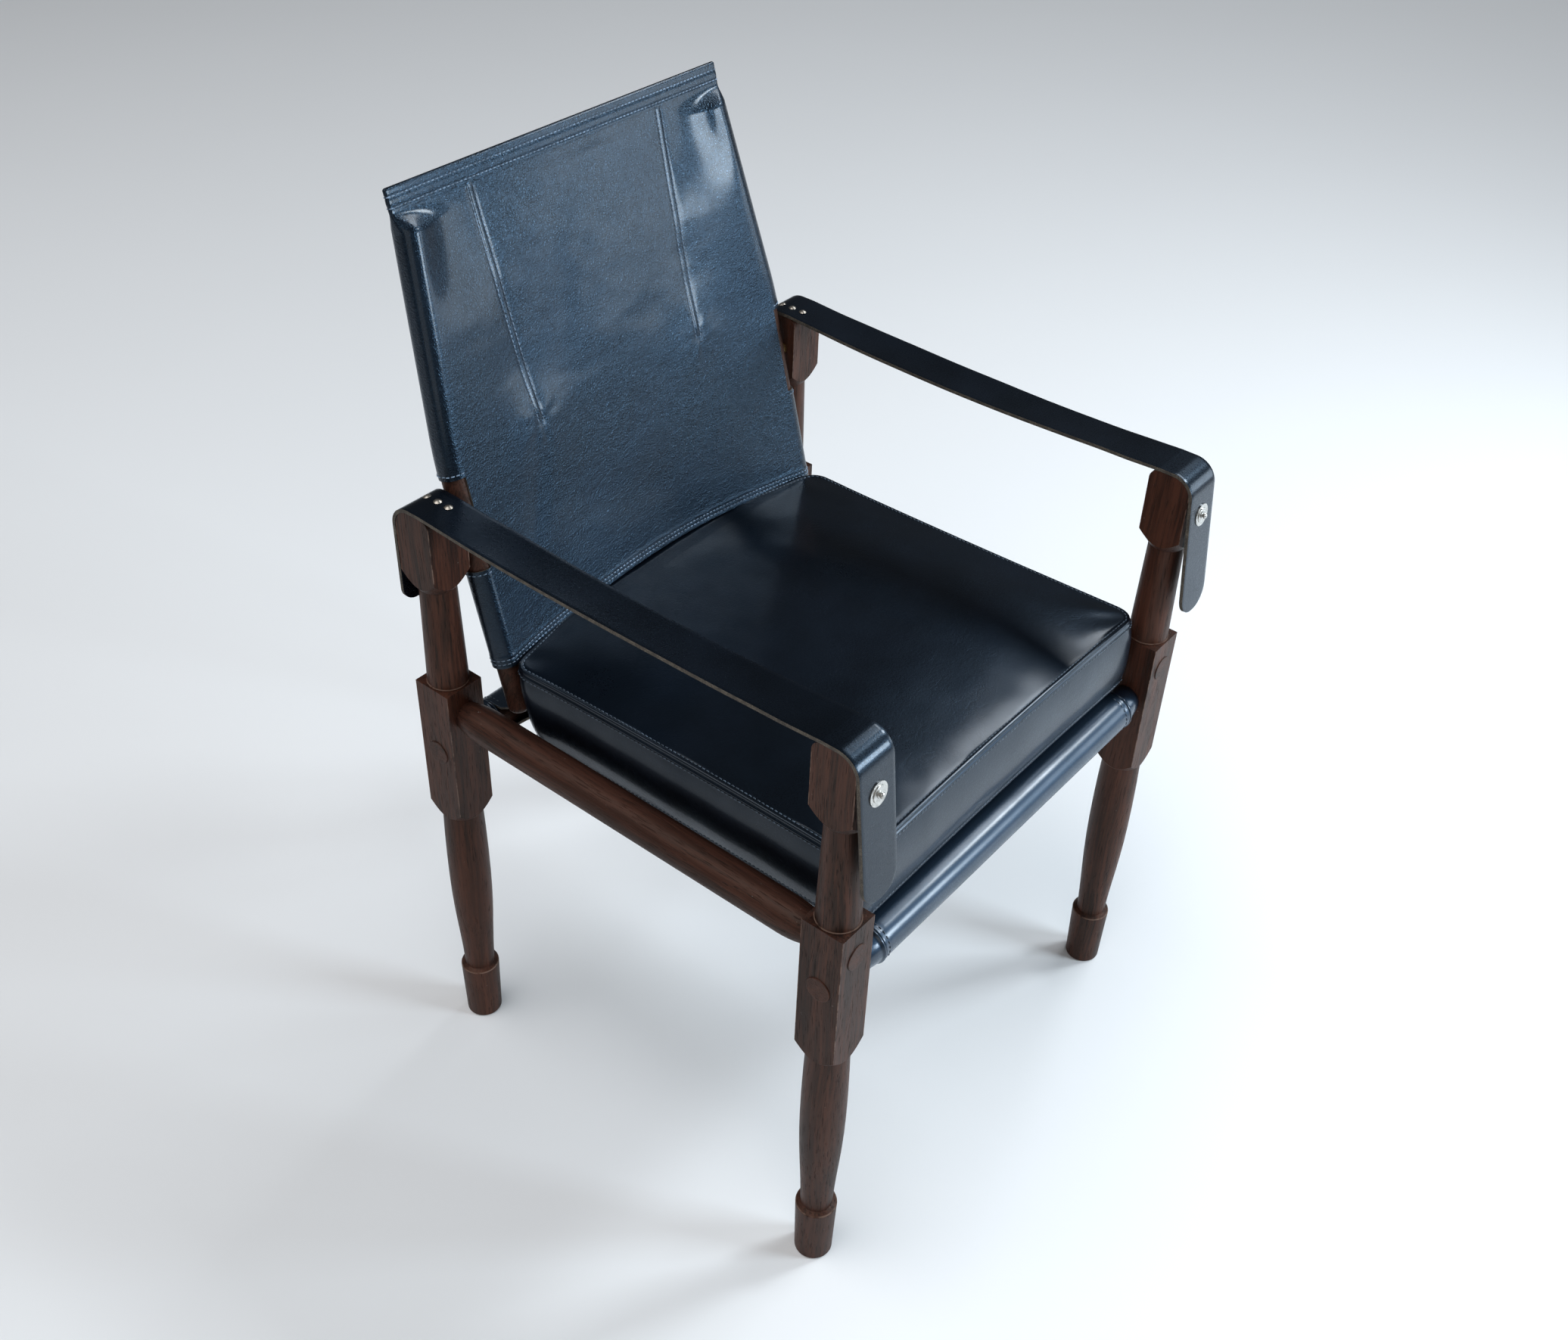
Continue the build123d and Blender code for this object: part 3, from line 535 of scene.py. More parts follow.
def metal(name, tint, rough, dulled, brushed=0.0):
    """Plated or plain metal with fine scratches and a dulled film."""
    finish = Finish(name, Metallic=1.0)
    place = finish.place()
    scratches = finish.noise(place, 1900.0, 3.0, 0.7, 1.5)
    film = finish.noise(place, 260.0, 3.0, 0.6)
    finish.feed(
        Base_Color=finish.mix(film.rise(0.45, 0.75) * dulled, tint, tinted(tint, 0.35)),
        Roughness=(rough + film * 0.16 + scratches.rise(0.5, 0.8) * (0.10 + brushed)).clamp(),
    )
    finish.bump(scratches * (0.012 * MM))
    return finish.material


# Mesh helpers


def clear_selection():
    """Leave nothing selected, because operators act on all that is."""
    if bpy.context.object and bpy.context.object.mode != "OBJECT":
        bpy.ops.object.mode_set(mode="OBJECT")
    bpy.ops.object.select_all(action="DESELECT")


def activate(piece):
    """Select one piece alone."""
    clear_selection()
    bpy.context.view_layer.objects.active = piece
    piece.select_set(True)


def points_of(piece):
    """The vertices of a piece as an array."""
    points = np.empty(len(piece.data.vertices) * 3)
    piece.data.vertices.foreach_get("co", points)
    return points.reshape(-1, 3)


def move_points(piece, points):
    """Give the vertices of a piece new places."""
    piece.data.vertices.foreach_set("co", np.ascontiguousarray(points, dtype=np.float32).ravel())
    piece.data.update()


def new_sheet(name, columns, rows):
    """A grid that shape functions bend, with each vertex's column and row."""
    clear_selection()
    bpy.ops.mesh.primitive_grid_add(x_subdivisions=columns, y_subdivisions=rows, size=2)
    piece = bpy.context.object
    piece.name = piece.data.name = name
    flat = points_of(piece)
    column = np.rint((flat[:, 0] + 1) / 2 * columns).astype(int)
    row = np.rint((flat[:, 1] + 1) / 2 * rows).astype(int)
    return piece, column, row


def edit(piece, *steps):
    """Run edit-mode steps on a piece, each with everything selected first."""
    activate(piece)
    bpy.ops.object.mode_set(mode="EDIT")
    for operator, values in steps:
        bpy.ops.mesh.select_all(action="SELECT")
        operator(**values)
    bpy.ops.object.mode_set(mode="OBJECT")


def face_outwards(piece):
    """Make the faces of a piece agree, outwards where it is closed."""
    edit(piece, (bpy.ops.mesh.normals_make_consistent, {"inside": False}))


def face_towards(piece, way):
    """Turn the faces of an open piece over if its face that lies furthest one way looks back."""
    way = Vector(way)
    furthest = max(piece.data.polygons, key=lambda face: face.center.dot(way))
    if furthest.normal.dot(way) < 0:
        edit(piece, (bpy.ops.mesh.flip_normals, {}))


def weld(piece):
    """Close the seams of a bent grid and make its faces agree."""
    edit(
        piece,
        (bpy.ops.mesh.remove_doubles, {"threshold": 0.01 * MM}),
        (bpy.ops.mesh.dissolve_degenerate, {"threshold": 0.005 * MM}),
        (bpy.ops.mesh.normals_make_consistent, {"inside": False}),
    )


def apply(piece, kind, name, **settings):
    """Add a modifier and apply it."""
    modifier = piece.modifiers.new(name, kind)
    for key, value in settings.items():
        setattr(modifier, key, value)
    activate(piece)
    bpy.ops.object.modifier_apply(modifier=name)


def thicken(piece, thickness, offset=-1, rim=0):
    """Give a sheet its thickness, its rim in the material that follows by a number."""
    apply(
        piece, "SOLIDIFY", "Hide",
        thickness=thickness, offset=offset, use_even_offset=False, material_offset_rim=rim,
    )


def round_edges(piece, width, material=-1):
    """Round the cut edges of a thickened sheet, in its own material or in another."""
    apply(
        piece, "BEVEL", "Edge",
        width=width, segments=2, limit_method="ANGLE", angle_limit=math.radians(50), material=material,
    )


def smooth(piece, angle=None):
    """Shade a piece smooth, with edges sharper than an angle kept."""
    activate(piece)
    if angle is None:
        bpy.ops.object.shade_smooth()
    else:
        bpy.ops.object.shade_smooth_by_angle(angle=math.radians(angle))


def smoothstep(start, end, value):
    """From 0 at start to 1 at end, eased at both."""
    share = np.clip((value - start) / (end - start), 0, 1)
    return share * share * (3 - 2 * share)


def bell(distance, width):
    """From 1 at no distance down to nothing some widths away."""
    return np.exp(-((distance / width) ** 2))


def unit(vectors):
    """An array of directions, each made one long."""
    return vectors / np.maximum(1e-12, np.linalg.norm(vectors, axis=-1))[..., None]


def wander(points, size, seed=0.0, stretch=(1, 1, 1)):
    """Smooth seeded noise over an array of points, about -1 to 1."""
    shift = Vector((seed * 3.1, seed * 1.7, seed * 2.3))
    scale = np.array(stretch) / size
    return np.array([noise.noise(Vector(point) + shift) for point in points * scale])


def ripples(points, *layers):
    """Layers of noise added up: each its size and its height in millimetres, its seed and its stretch."""
    return sum(
        wander(points, size * MM, seed, stretch) * height * MM for size, height, seed, stretch in layers
    )


def seat_space(x, run, height):
    """Places from across, run behind the front rail's axis and height over the seat's plane."""
    x, run, height = np.broadcast_arrays(x, run, height)
    return SEAT_ORIGIN + np.outer(x, ACROSS) + np.outer(run, SEAT_BACKWARD) + np.outer(height, SEAT_UP)


def back_space(x, rise, depth):
    """Places from across, rise up the back from the pivot and depth ahead of the stiles' axes."""
    x, rise, depth = np.broadcast_arrays(x, rise, depth)
    return BACK_ORIGIN + np.outer(x, ACROSS) + np.outer(rise, BACK_UP) + np.outer(depth, BACK_FRONT)


def arc(centre, radius, start, end, count):
    """Places on an arc, its ends included, angles in degrees."""
    angles = np.radians(np.linspace(start, end, count + 1))
    return [(centre[0] + radius * math.cos(a), centre[1] + radius * math.sin(a)) for a in angles]


def run_between(start, end, count):
    """Evenly spaced places after start, up to and with end."""
    return [
        (start[0] + (end[0] - start[0]) * step / count, start[1] + (end[1] - start[1]) * step / count)
        for step in range(1, count + 1)
    ]


# Stitches: the share of the pitch that shows, how proud the thread stands, and the shape of one stitch, all
# as shares of its length or width
STITCH_SHOWN = 0.80
STITCH_PROUD = 0.2
STITCH_BEND = 0.28
STITCH_END = 0.4
STITCH_SLIM = 0.45
STITCH_DIVE = 0.55
STITCH_LIFT = 0.10 * MM
HEADING_STEP = 0.3 * MM


def along_path(path, spacing):
    """Evenly spaced places on a polyline, with directions."""
    steps = np.linalg.norm(np.diff(path, axis=0), axis=1)
    run = np.concatenate(([0], np.cumsum(steps)))
    count = max(2, int(run[-1] / spacing))
    middles = (np.arange(count) + 0.5) * run[-1] / count

    def places_at(distances):
        return np.stack([np.interp(distances, run, path[:, axis]) for axis in range(3)], axis=1)

    return places_at(middles), unit(places_at(middles + HEADING_STEP) - places_at(middles - HEADING_STEP))


def stitch_model():
    """One stitch: a short strand whose ends dive into the leather, along X and one unit long."""
    clear_selection()
    bpy.ops.mesh.primitive_cylinder_add(vertices=6, radius=0.5, depth=1, end_fill_type="TRIFAN")
    model = bpy.context.object
    edit(
        model,
        (bpy.ops.mesh.bisect, {"plane_co": (0, 0, STITCH_BEND), "plane_no": (0, 0, 1)}),
        (bpy.ops.mesh.bisect, {"plane_co": (0, 0, -STITCH_BEND), "plane_no": (0, 0, 1)}),
    )
    side, up, length = points_of(model).T
    end = np.abs(length) > STITCH_END
    slim = np.where(end, STITCH_SLIM, 1.0)
    shaped = np.stack((length, side * slim, up * slim - np.where(end, STITCH_DIVE, 0.0)), axis=1)
    mesh = model.data
    faces = [tuple(face.vertices) for face in mesh.polygons]
    bpy.data.objects.remove(model)
    bpy.data.meshes.remove(mesh)
    return shaped, faces


def stitch_row(model, path, outward):
    """The vertices of each stitch of a row along a path, with the outward direction at each of its points."""
    settings = bpy.context.scene.chair_leather
    length, width = settings.stitch_pitch * STITCH_SHOWN, settings.stitch_width
    places, heading = along_path(path, settings.stitch_pitch)
    nearest = np.argmin(np.linalg.norm(path[None, :, :] - places[:, None, :], axis=2), axis=1)
    side = unit(np.cross(outward[nearest], heading))
    up = np.cross(heading, side)
    places = places + up * (width * STITCH_PROUD)
    scaled = model * (length, width, width)
    return [place + scaled @ np.stack(axes) for place, *axes in zip(places, heading, side, up)]


def stitched(name, seams, body, thread):
    """A row of stitches along each seam, given as a path and the outward direction at its points."""
    model, faces = stitch_model()
    stitches = [stitch for path, outward in seams for stitch in stitch_row(model, path, outward)]
    all_faces = [
        tuple(index + number * len(model) for index in face)
        for number in range(len(stitches))
        for face in faces
    ]
    mesh = bpy.data.meshes.new(name)
    mesh.from_pydata(np.concatenate(stitches).tolist(), [], all_faces)
    mesh.update()
    piece = bpy.data.objects.new(name, mesh)
    bpy.context.scene.collection.objects.link(piece)
    piece.data.materials.append(thread)
    face_outwards(piece)
    smooth(piece)
    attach(piece, body)


# Seat cushion

# Rings of the cover from the panel's inner edge over the seam and halfway down the boxing, in millimetres:
# how far outside the seam line, and how far above it apart from the crown
CUSHION_RINGS = np.array((
    (-9.0, 0.0), (-6.8, 0.0), (-5.2, 0.05), (-4.1, 0.35), (-3.1, 0.75), (-2.1, 0.8), (-1.2, 0.35),
    (-0.7, -0.6), (-1.0, -1.4), (-0.5, -2.1), (0.35, -2.9), (0.75, -3.9), (0.6, -4.9), (0.15, -5.9),
    (0.9, -8.0), (2.3, -13.0), (3.5, -20.0), (4.0, -28.0), (4.1, -36.25),
)) * MM
CUSHION_COLUMNS = 64
CUSHION_ROWS = 56
PINNED_RINGS = (2, 14)
PANEL_STITCH_RING = 2
PANEL_STITCH_LEAN = 0.25
BOXING_STITCH_RING = 13
PANEL_EDGE = -1.0 * MM
CROWN_FALL = 33 * MM
BELLY_SHARE = 1.25
CUSHION_SHIFT = 0.5 * MM
FILL_FRAMES = 20

# The rear gives way round both stiles and swells between them: room left at the sleeve, swell in the middle,
# and how far from the stiles and from the rear it starts and ends
NESTLE_GAP = 1.5 * MM
NESTLE_SWELL = 36 * MM
NESTLE_POWER = 1.3
NESTLE_BESIDE = (66 * MM, 16 * MM)
NESTLE_REACH = (110 * MM, 15 * MM)

# Soft folds of the handled cover, as layers for ripples()
PANEL_FOLDS = ((70, 0.9, 2.0, (1, 1, 1)), (24, 0.22, 5.0, (1, 1, 1)))
BOXING_WAVES = (55, 0.9, 8.0, (1, 1, 0.4))
CORNER_FOLDS = 9
CORNER_FOLD_PHASE = 0.8
CORNER_FOLD_HEIGHT = 0.7 * MM
CORNER_FOLD_PLACE = 38 * MM
CORNER_FOLD_WIDTH = 26 * MM
BOXING_DEPTH = 5 * MM


def nestled(x, run, height, size):
    """How far the rear of the cushion gives way where the stiles press against it."""
    rear = seat_space(0.0, size.depth, size.upper_seam)[0]
    z = seat_space(x, run, height)[:, 2]
    beside = smoothstep(STILE_X - NESTLE_BESIDE[0], STILE_X - NESTLE_BESIDE[1], np.abs(x))
    stile_y = PIVOT.y + (rear[2] + (z - rear[2]) * beside - PIVOT.z) * math.tan(LEAN)
    between = (1 - np.minimum(1, np.abs(x) / STILE_X) ** 2) ** NESTLE_POWER
    free = stile_y - SLEEVE_RADIUS - NESTLE_GAP + NESTLE_SWELL * between
    near = smoothstep(size.depth - NESTLE_REACH[0], size.depth - NESTLE_REACH[1], run)
    return np.maximum(0, rear[1] - free) * near


def cushion_blank():
    """A flat panel with its edges extruded down ring by ring and mirrored, one unit from ring to ring."""
    last = len(CUSHION_RINGS) - 1
    clear_selection()
    bpy.ops.mesh.primitive_grid_add(x_subdivisions=CUSHION_COLUMNS, y_subdivisions=CUSHION_ROWS, size=2)
    cover = bpy.context.object
    cover.name = cover.data.name = "cushion_cover"
    bpy.ops.object.mode_set(mode="EDIT")
    bpy.ops.mesh.select_mode(type="EDGE")
    bpy.ops.mesh.select_all(action="SELECT")
    bpy.ops.transform.translate(value=(0, 0, last))
    bpy.ops.mesh.region_to_loop()
    for _ in range(last):
        bpy.ops.mesh.extrude_edges_move(TRANSFORM_OT_translate={"value": (0, 0, -1)})
    bpy.ops.mesh.select_mode(type="VERT")
    bpy.ops.object.mode_set(mode="OBJECT")
    apply(
        cover, "MIRROR", "Lower half",
        use_axis=(False, False, True), use_mirror_merge=True, merge_threshold=0.01,
    )
    return cover


def rounded_outline(flat, size, offset):
    """Places on the panel and round its corners, each ring its own distance outside the seam line."""
    inset = -CUSHION_RINGS[0, 0]
    half = np.array((size.width / 2, size.depth / 2))
    inner, radius = half - inset, size.corner - inset
    place = np.clip(flat[:, :2], -1, 1) * inner
    sign = np.where(place < 0, -1.0, 1.0)
    past = (np.abs(place) - (inner - radius)) / radius
    corner = (past > 0).all(axis=1)[:, None]
    bent = past * np.sqrt(np.maximum(0, 1 - past[:, ::-1] ** 2 / 2))
    place = np.where(corner, sign * (inner - radius + radius * bent), place)
    edge = np.abs(flat[:, :2]) > 0.999
    outward = unit(np.where(corner, sign * bent, np.where(edge, sign, 0.0)))
    place = place + outward * (offset + inset)[:, None] * edge.any(axis=1)[:, None]
    return place, half, sign


def cushion_cover(size):
    """The unfilled cover as a closed mesh, with each vertex's ring and half."""
    cover = cushion_blank()
    flat = points_of(cover)
    ring = np.rint(len(CUSHION_RINGS) - 1 - np.abs(flat[:, 2])).astype(int)
    lower = flat[:, 2] < -0.5
    offset, relief = CUSHION_RINGS[ring].T
    place, half, sign = rounded_outline(flat, size, offset)
    # The crown rises from every side, and the belly below is deeper
    near = np.maximum(0, half - np.abs(place))
    share = (1 - np.exp(-near / CROWN_FALL)).prod(axis=1)
    belly = (size.lower_seam - size.base) * BELLY_SHARE
    rise = np.where(offset < PANEL_EDGE, share * np.where(lower, belly, size.crown), 0.0)
    height = np.where(lower, size.lower_seam - rise - relief, size.upper_seam + rise + relief)
    height = np.where(lower, np.maximum(height, size.base), height)
    # Its sides pull in between the corners
    pulled = np.abs(place) / half
    place = place - sign * size.draw * (1 - np.minimum(1, pulled[:, ::-1]) ** 2) * pulled**2
    run = place[:, 1] + size.depth / 2 - CUSHION_SHIFT
    run -= nestled(place[:, 0], run, height, size)
    move_points(cover, seat_space(place[:, 0], run, height))
    face_outwards(cover)
    return cover, ring, lower


def fill_cover(cover, ring, size):
    """Press the filling against the cover with a short cloth simulation, its seams held."""
    rest = points_of(cover)
    held = [int(index) for index in np.flatnonzero((ring >= PINNED_RINGS[0]) & (ring <= PINNED_RINGS[1]))]
    group = cover.vertex_groups.new(name="seams")
    group.add(held, 1.0, "REPLACE")
    modifier = cover.modifiers.new("Filling", "CLOTH")
    cloth = modifier.settings
    cloth.quality = 5
    cloth.mass = 0.3
    cloth.tension_stiffness = cloth.compression_stiffness = 18
    cloth.bending_stiffness = 2.0
    cloth.use_pressure = True
    cloth.uniform_pressure_force = size.pressure
    cloth.effector_weights.gravity = 0
    cloth.vertex_group_mass = "seams"
    modifier.point_cache.frame_start, modifier.point_cache.frame_end = 1, FILL_FRAMES
    for moment in range(1, FILL_FRAMES + 1):
        bpy.context.scene.frame_set(moment)
    activate(cover)
    bpy.ops.object.modifier_apply(modifier="Filling")
    bpy.context.scene.frame_set(1)
    moved = points_of(cover) - rest
    reach = np.linalg.norm(moved, axis=1)
    capped = size.swell * np.tanh(reach / size.swell)
    move_points(cover, rest + moved * (capped / np.maximum(reach, 1e-9))[:, None])
    cover.vertex_groups.clear()


def crumple_cover(cover, ring, lower, size):
    """Give the cover the soft folds of handling, by its corners and along its boxing."""
    points = points_of(cover)
    local = points - SEAT_ORIGIN
    x, run, height = local @ ACROSS, local @ SEAT_BACKWARD, local @ SEAT_UP
    beyond = run - (size.depth / 2 - CUSHION_SHIFT)
    side_gap, end_gap = size.width / 2 - np.abs(x), size.depth / 2 - np.abs(beyond)
    turn = np.arctan2(side_gap, end_gap)
    folds = ripples(points, *PANEL_FOLDS)
    radiating = CORNER_FOLD_HEIGHT * np.cos(turn * CORNER_FOLDS + np.sign(x) * CORNER_FOLD_PHASE)
    folds += radiating * bell(np.hypot(side_gap, end_gap) - CORNER_FOLD_PLACE, CORNER_FOLD_WIDTH)
    free = (ring < PINNED_RINGS[0]) | (ring > PINNED_RINGS[1])
    height = np.where(free & ~lower, height + folds, height)
    height = np.where(lower, np.maximum(height, size.base), height)
    waves = np.where(ring > PINNED_RINGS[1], ripples(points, BOXING_WAVES), 0.0)
    x = x + waves * np.where(side_gap < BOXING_DEPTH, np.sign(x), 0.0)
    run = run + waves * np.where(end_gap < BOXING_DEPTH, np.sign(beyond), 0.0)
    move_points(cover, seat_space(x, run, height))


def cushion_seams(cover, ring, lower, size):
    """Rows of stitches on the panels and on the boxing, beside both seams."""
    points = points_of(cover)
    centre = seat_space(0.0, size.depth / 2 - CUSHION_SHIFT, 0.0)[0]
    seams = []
    for half, way_up in ((False, SEAT_UP), (True, -SEAT_UP)):
        for number in (PANEL_STITCH_RING, BOXING_STITCH_RING):
            picked = points[(ring == number) & (lower == half)]
            spoke = picked - centre
            path = picked[np.argsort(np.arctan2(spoke @ SEAT_BACKWARD, spoke @ ACROSS))]
            heading = np.roll(path, -1, axis=0) - np.roll(path, 1, axis=0)
            path = np.concatenate((path, path[:1]))
            outward = unit(np.cross(np.concatenate((heading, heading[:1])), SEAT_UP))
            if number == PANEL_STITCH_RING:
                outward = way_up + PANEL_STITCH_LEAN * outward
            outward = unit(outward)
            seams.append((path + outward * STITCH_LIFT, outward))
    return seams


class CHAIR_OT_cushion(bpy.types.Operator):
    """Boxed seat cushion: a filled leather cover with top-stitched seams"""

    bl_idname = "chair.cushion"
    bl_label = "Seat cushion"

    def execute(self, context):
        size = context.scene.chair_cushion
        cover, ring, lower = cushion_cover(size)
        fill_cover(cover, ring, size)
        crumple_cover(cover, ring, lower, size)
        seams = cushion_seams(cover, ring, lower, size)
        apply(cover, "SUBSURF", "Smooth", levels=1, render_levels=1)
        smooth(cover)
        cover.data.materials.append(leather("cushion_leather"))
        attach(cover, "cushion")
        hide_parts("seat_cushion")
        stitched("cushion_stitches", seams, "cushion", context.scene["dark_thread"])
        return {"FINISHED"}


# Seat sling: its rows along the lap, up to the roll, round it and over half the deck, and its columns
LAP_ROWS = 7
ROLL_ROWS = 46
DECK_ROWS = 32
SLING_COLUMNS = 84
FIRST_ROLL_ROW = 2 * LAP_ROWS
LAP_LENGTH = 38 * MM
NARROWING = (12 * MM, 34 * MM)
ROLL_REACH = 22 * MM
DECK_SAG = 1.3 * MM
DECK_TAUT = 60 * MM
COLUMN_GATHER = 1.35
LIP_HEIGHT = 0.55 * MM
LIP_INSET = 1.6 * MM
LIP_WIDTH = 1.5 * MM
ROLL_STITCH_INSET = 5.2 * MM
ROLL_STITCH_DEPTH = 0.35 * MM
ROLL_STITCH_WIDTH = 1.4 * MM
LAP_STITCH_ROW = 5
LAP_STITCH_INSET = 3
DECK_WAVES = (60, 0.5, 3.0, (1, 1, 1))
ROLL_WAVES = (42, 0.18, 6.0, (0.35, 1, 1))


def sling_path(size):
    """The hide's outside in run and height: lap, front roll, deck, rear roll and lap."""
    radius = size.roll_radius
    lap_height = radius - 2 * size.thickness
    reach = size.lap - LAP_LENGTH
    distance = math.hypot(reach, lap_height)
    touch = math.asin(lap_height / distance) - math.acos(radius / distance)
    meets_roll = (radius * math.cos(touch), radius * math.sin(touch))
    half = [(size.lap, lap_height)]
    half += run_between((size.lap, lap_height), (reach, lap_height), LAP_ROWS)
    half += run_between((reach, lap_height), meets_roll, LAP_ROWS)
    half += arc((0, 0), radius, math.degrees(touch), -270, ROLL_ROWS)[1:]
    half += run_between((0, radius), (SEAT_RUN / 2, radius), DECK_ROWS)
    other = [(SEAT_RUN - run, height) for run, height in half[-2::-1]]
    return np.array(half + other)


def gathered(share):
    """Columns from -1 to 1 that gather at both edges, where the lips are."""
    return np.sign(share) * (1 - (1 - np.abs(share)) ** COLUMN_GATHER)


def sling_places(size, path, column, row):
    """Places of the sling's vertices: rolls with lips at their ends, and a narrower deck that sags."""
    run, height = path[row].T
    to_roll = np.minimum(run, SEAT_RUN - run)
    half_width = size.deck_half + (size.roll_half - size.deck_half) * (1 - smoothstep(*NARROWING, to_roll))
    x = gathered(column / SLING_COLUMNS * 2 - 1) * half_width
    flat = np.stack((x, run, height), axis=1)
    waves = ripples(flat, DECK_WAVES) * smoothstep(0, DECK_TAUT, to_roll)
    deck = (height > size.roll_radius - 0.1 * MM) & (to_roll > 1 * MM)
    sag = np.where(deck, -DECK_SAG * np.sin(np.pi * run / SEAT_RUN) + waves, 0.0)
    spoke = np.stack((run - np.where(run < SEAT_RUN / 2, 0.0, SEAT_RUN), height), axis=1)
    from_axis = np.linalg.norm(spoke, axis=1)
    on_roll = (1 - smoothstep(0.0, ROLL_REACH, to_roll)) * (np.abs(from_axis - size.roll_radius) < 0.5 * MM)
    edge = half_width - np.abs(x)
    lip = LIP_HEIGHT * bell(edge - LIP_INSET, LIP_WIDTH)
    lip -= ROLL_STITCH_DEPTH * bell(edge - ROLL_STITCH_INSET, ROLL_STITCH_WIDTH)
    swell = unit(spoke) * (on_roll * (lip + ripples(flat, ROLL_WAVES)))[:, None]
    return seat_space(x, run + swell[:, 0], height + swell[:, 1] + sag)


def sling_seams(size, table):
    """Stitches round each roll beside the caps, and along both laps."""
    rows = table.shape[1] - 1
    edges = gathered(np.arange(SLING_COLUMNS + 1) / SLING_COLUMNS * 2 - 1) * size.roll_half
    last_roll_row = FIRST_ROLL_ROW + ROLL_ROWS + 1
    seams = []
    for side, _ in SIDES:
        index = int(np.argmin(np.abs(edges - side * (size.roll_half - ROLL_STITCH_INSET))))
        rear_rows = slice(rows - last_roll_row, rows - FIRST_ROLL_ROW)
        for picked, axis_run in ((slice(FIRST_ROLL_ROW, last_roll_row), 0.0), (rear_rows, SEAT_RUN)):
            line = table[index, picked]
            out = line - (SEAT_ORIGIN + SEAT_BACKWARD * axis_run)
            seams.append((line, unit(out - np.outer(out @ ACROSS, ACROSS))))
    for first, step in ((LAP_STITCH_ROW, 1), (rows - LAP_STITCH_ROW, -1)):
        for index in (first, first + step):
            line = table[LAP_STITCH_INSET:-LAP_STITCH_INSET, index]
            seams.append((line - SEAT_UP * STITCH_LIFT, np.tile(-SEAT_UP, (len(line), 1))))
    return seams


class CHAIR_OT_sling(bpy.types.Operator):
    """Seat sling: one hide wrapped round both rolls and lapped under the deck"""

    bl_idname = "chair.sling"
    bl_label = "Seat sling"

    def execute(self, context):
        size = context.scene.chair_sling
        path = sling_path(size)
        rows = len(path) - 1
        sling, column, row = new_sheet("seat_sling_leather", SLING_COLUMNS, rows)
        move_points(sling, sling_places(size, path, column, row))
        face_outwards(sling)
        face_towards(sling, (0, 0, 1))
        table = np.empty((SLING_COLUMNS + 1, rows + 1, 3))
        table[column, row] = points_of(sling)
        sling.data.materials.append(leather("sling_leather"))
        sling.data.materials.append(context.scene["raw_edge"])
        thicken(sling, size.thickness, rim=1)
        round_edges(sling, 0.35 * MM)
        smooth(sling, 50)
        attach(sling, "frame")
        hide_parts("seat_sling")
        seams = sling_seams(size, table)
        stitched("sling_stitches", seams, "frame", context.scene["dark_thread"])
        return {"FINISHED"}


# Roll caps: distance from the seam and radius, in millimetres
CAP_PROFILE = (
    (0.1, 18.2), (0.1, 19.9), (0.5, 20.7), (1.3, 21.0), (2.2, 20.8), (2.9, 20.1), (3.5, 19.3), (4.4, 19.0),
    (6.0, 18.85), (9.0, 18.55), (12.0, 18.15), (15.0, 17.65), (18.0, 17.05), (21.0, 16.4), (23.5, 15.8),
    (25.2, 15.4), (26.1, 15.1),
)
CAP_COLUMNS = 72
CAP_THICKNESS = 1.2 * MM
CAP_RIPPLES = 5
CAP_RIPPLE_HEIGHT = 0.12 * MM


class CHAIR_OT_roll_caps(bpy.types.Operator):
    """Caps: four leather collars that close the rolls against the legs"""

    bl_idname = "chair.roll_caps"
    bl_label = "Roll caps"

    def execute(self, context):
        finish = leather("cap_leather")
        for end, rail_y, rail_z in RAILS:
            for side, side_name in SIDES:
                cap = self.bend_cap(context.scene.chair_sling, f"{end}_{side_name}", side, rail_y, rail_z)
                cap.data.materials.append(finish)
                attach(cap, "frame")
                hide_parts(f"roll_cap_{end}_{side_name}")
        return {"FINISHED"}

    def bend_cap(self, size, place, side, rail_y, rail_z):
        """One collar round a rail, whose ripples grow towards the leg."""
        rows = len(CAP_PROFILE) - 1
        cap, column, row = new_sheet(f"roll_cap_leather_{place}", CAP_COLUMNS, rows)
        distance, radius = (np.array(CAP_PROFILE) * MM)[row].T
        turn = column / CAP_COLUMNS * 2 * np.pi
        ripple = CAP_RIPPLE_HEIGHT * np.sin(turn * CAP_RIPPLES + side + rail_y) * smoothstep(0, rows, row)
        x = side * (size.roll_half + distance)
        y = rail_y + (radius + ripple) * np.cos(turn)
        z = rail_z + (radius + ripple) * np.sin(turn)
        move_points(cap, np.stack((x, y, z), axis=1))
        weld(cap)
        face_towards(cap, (0, 0, 1))
        thicken(cap, CAP_THICKNESS)
        smooth(cap, 60)
        return cap


# Arm straps: the flare of their front ends, their turns over the heads of the legs, their tips and their sag
STRAP_FLARE = math.radians(6.3)
HEAD_OUTER_RADIUS = 19.0 * MM
HEAD_INNER_RADIUS = 9.5 * MM
STRAP_CLEARANCE = 0.2 * MM
FRONT_TIP_RADIUS = 20.5 * MM
REAR_TIP_RADIUS = 15 * MM
TIP_ROWS = (15, 12)
STRAP_COLUMNS = 12
FREE_SPAN = (150 * MM, 190 * MM)
CUP_HEIGHT = 0.5 * MM
TWIST_HEIGHT = 1.1 * MM
TWIST_LENGTH = 95 * MM


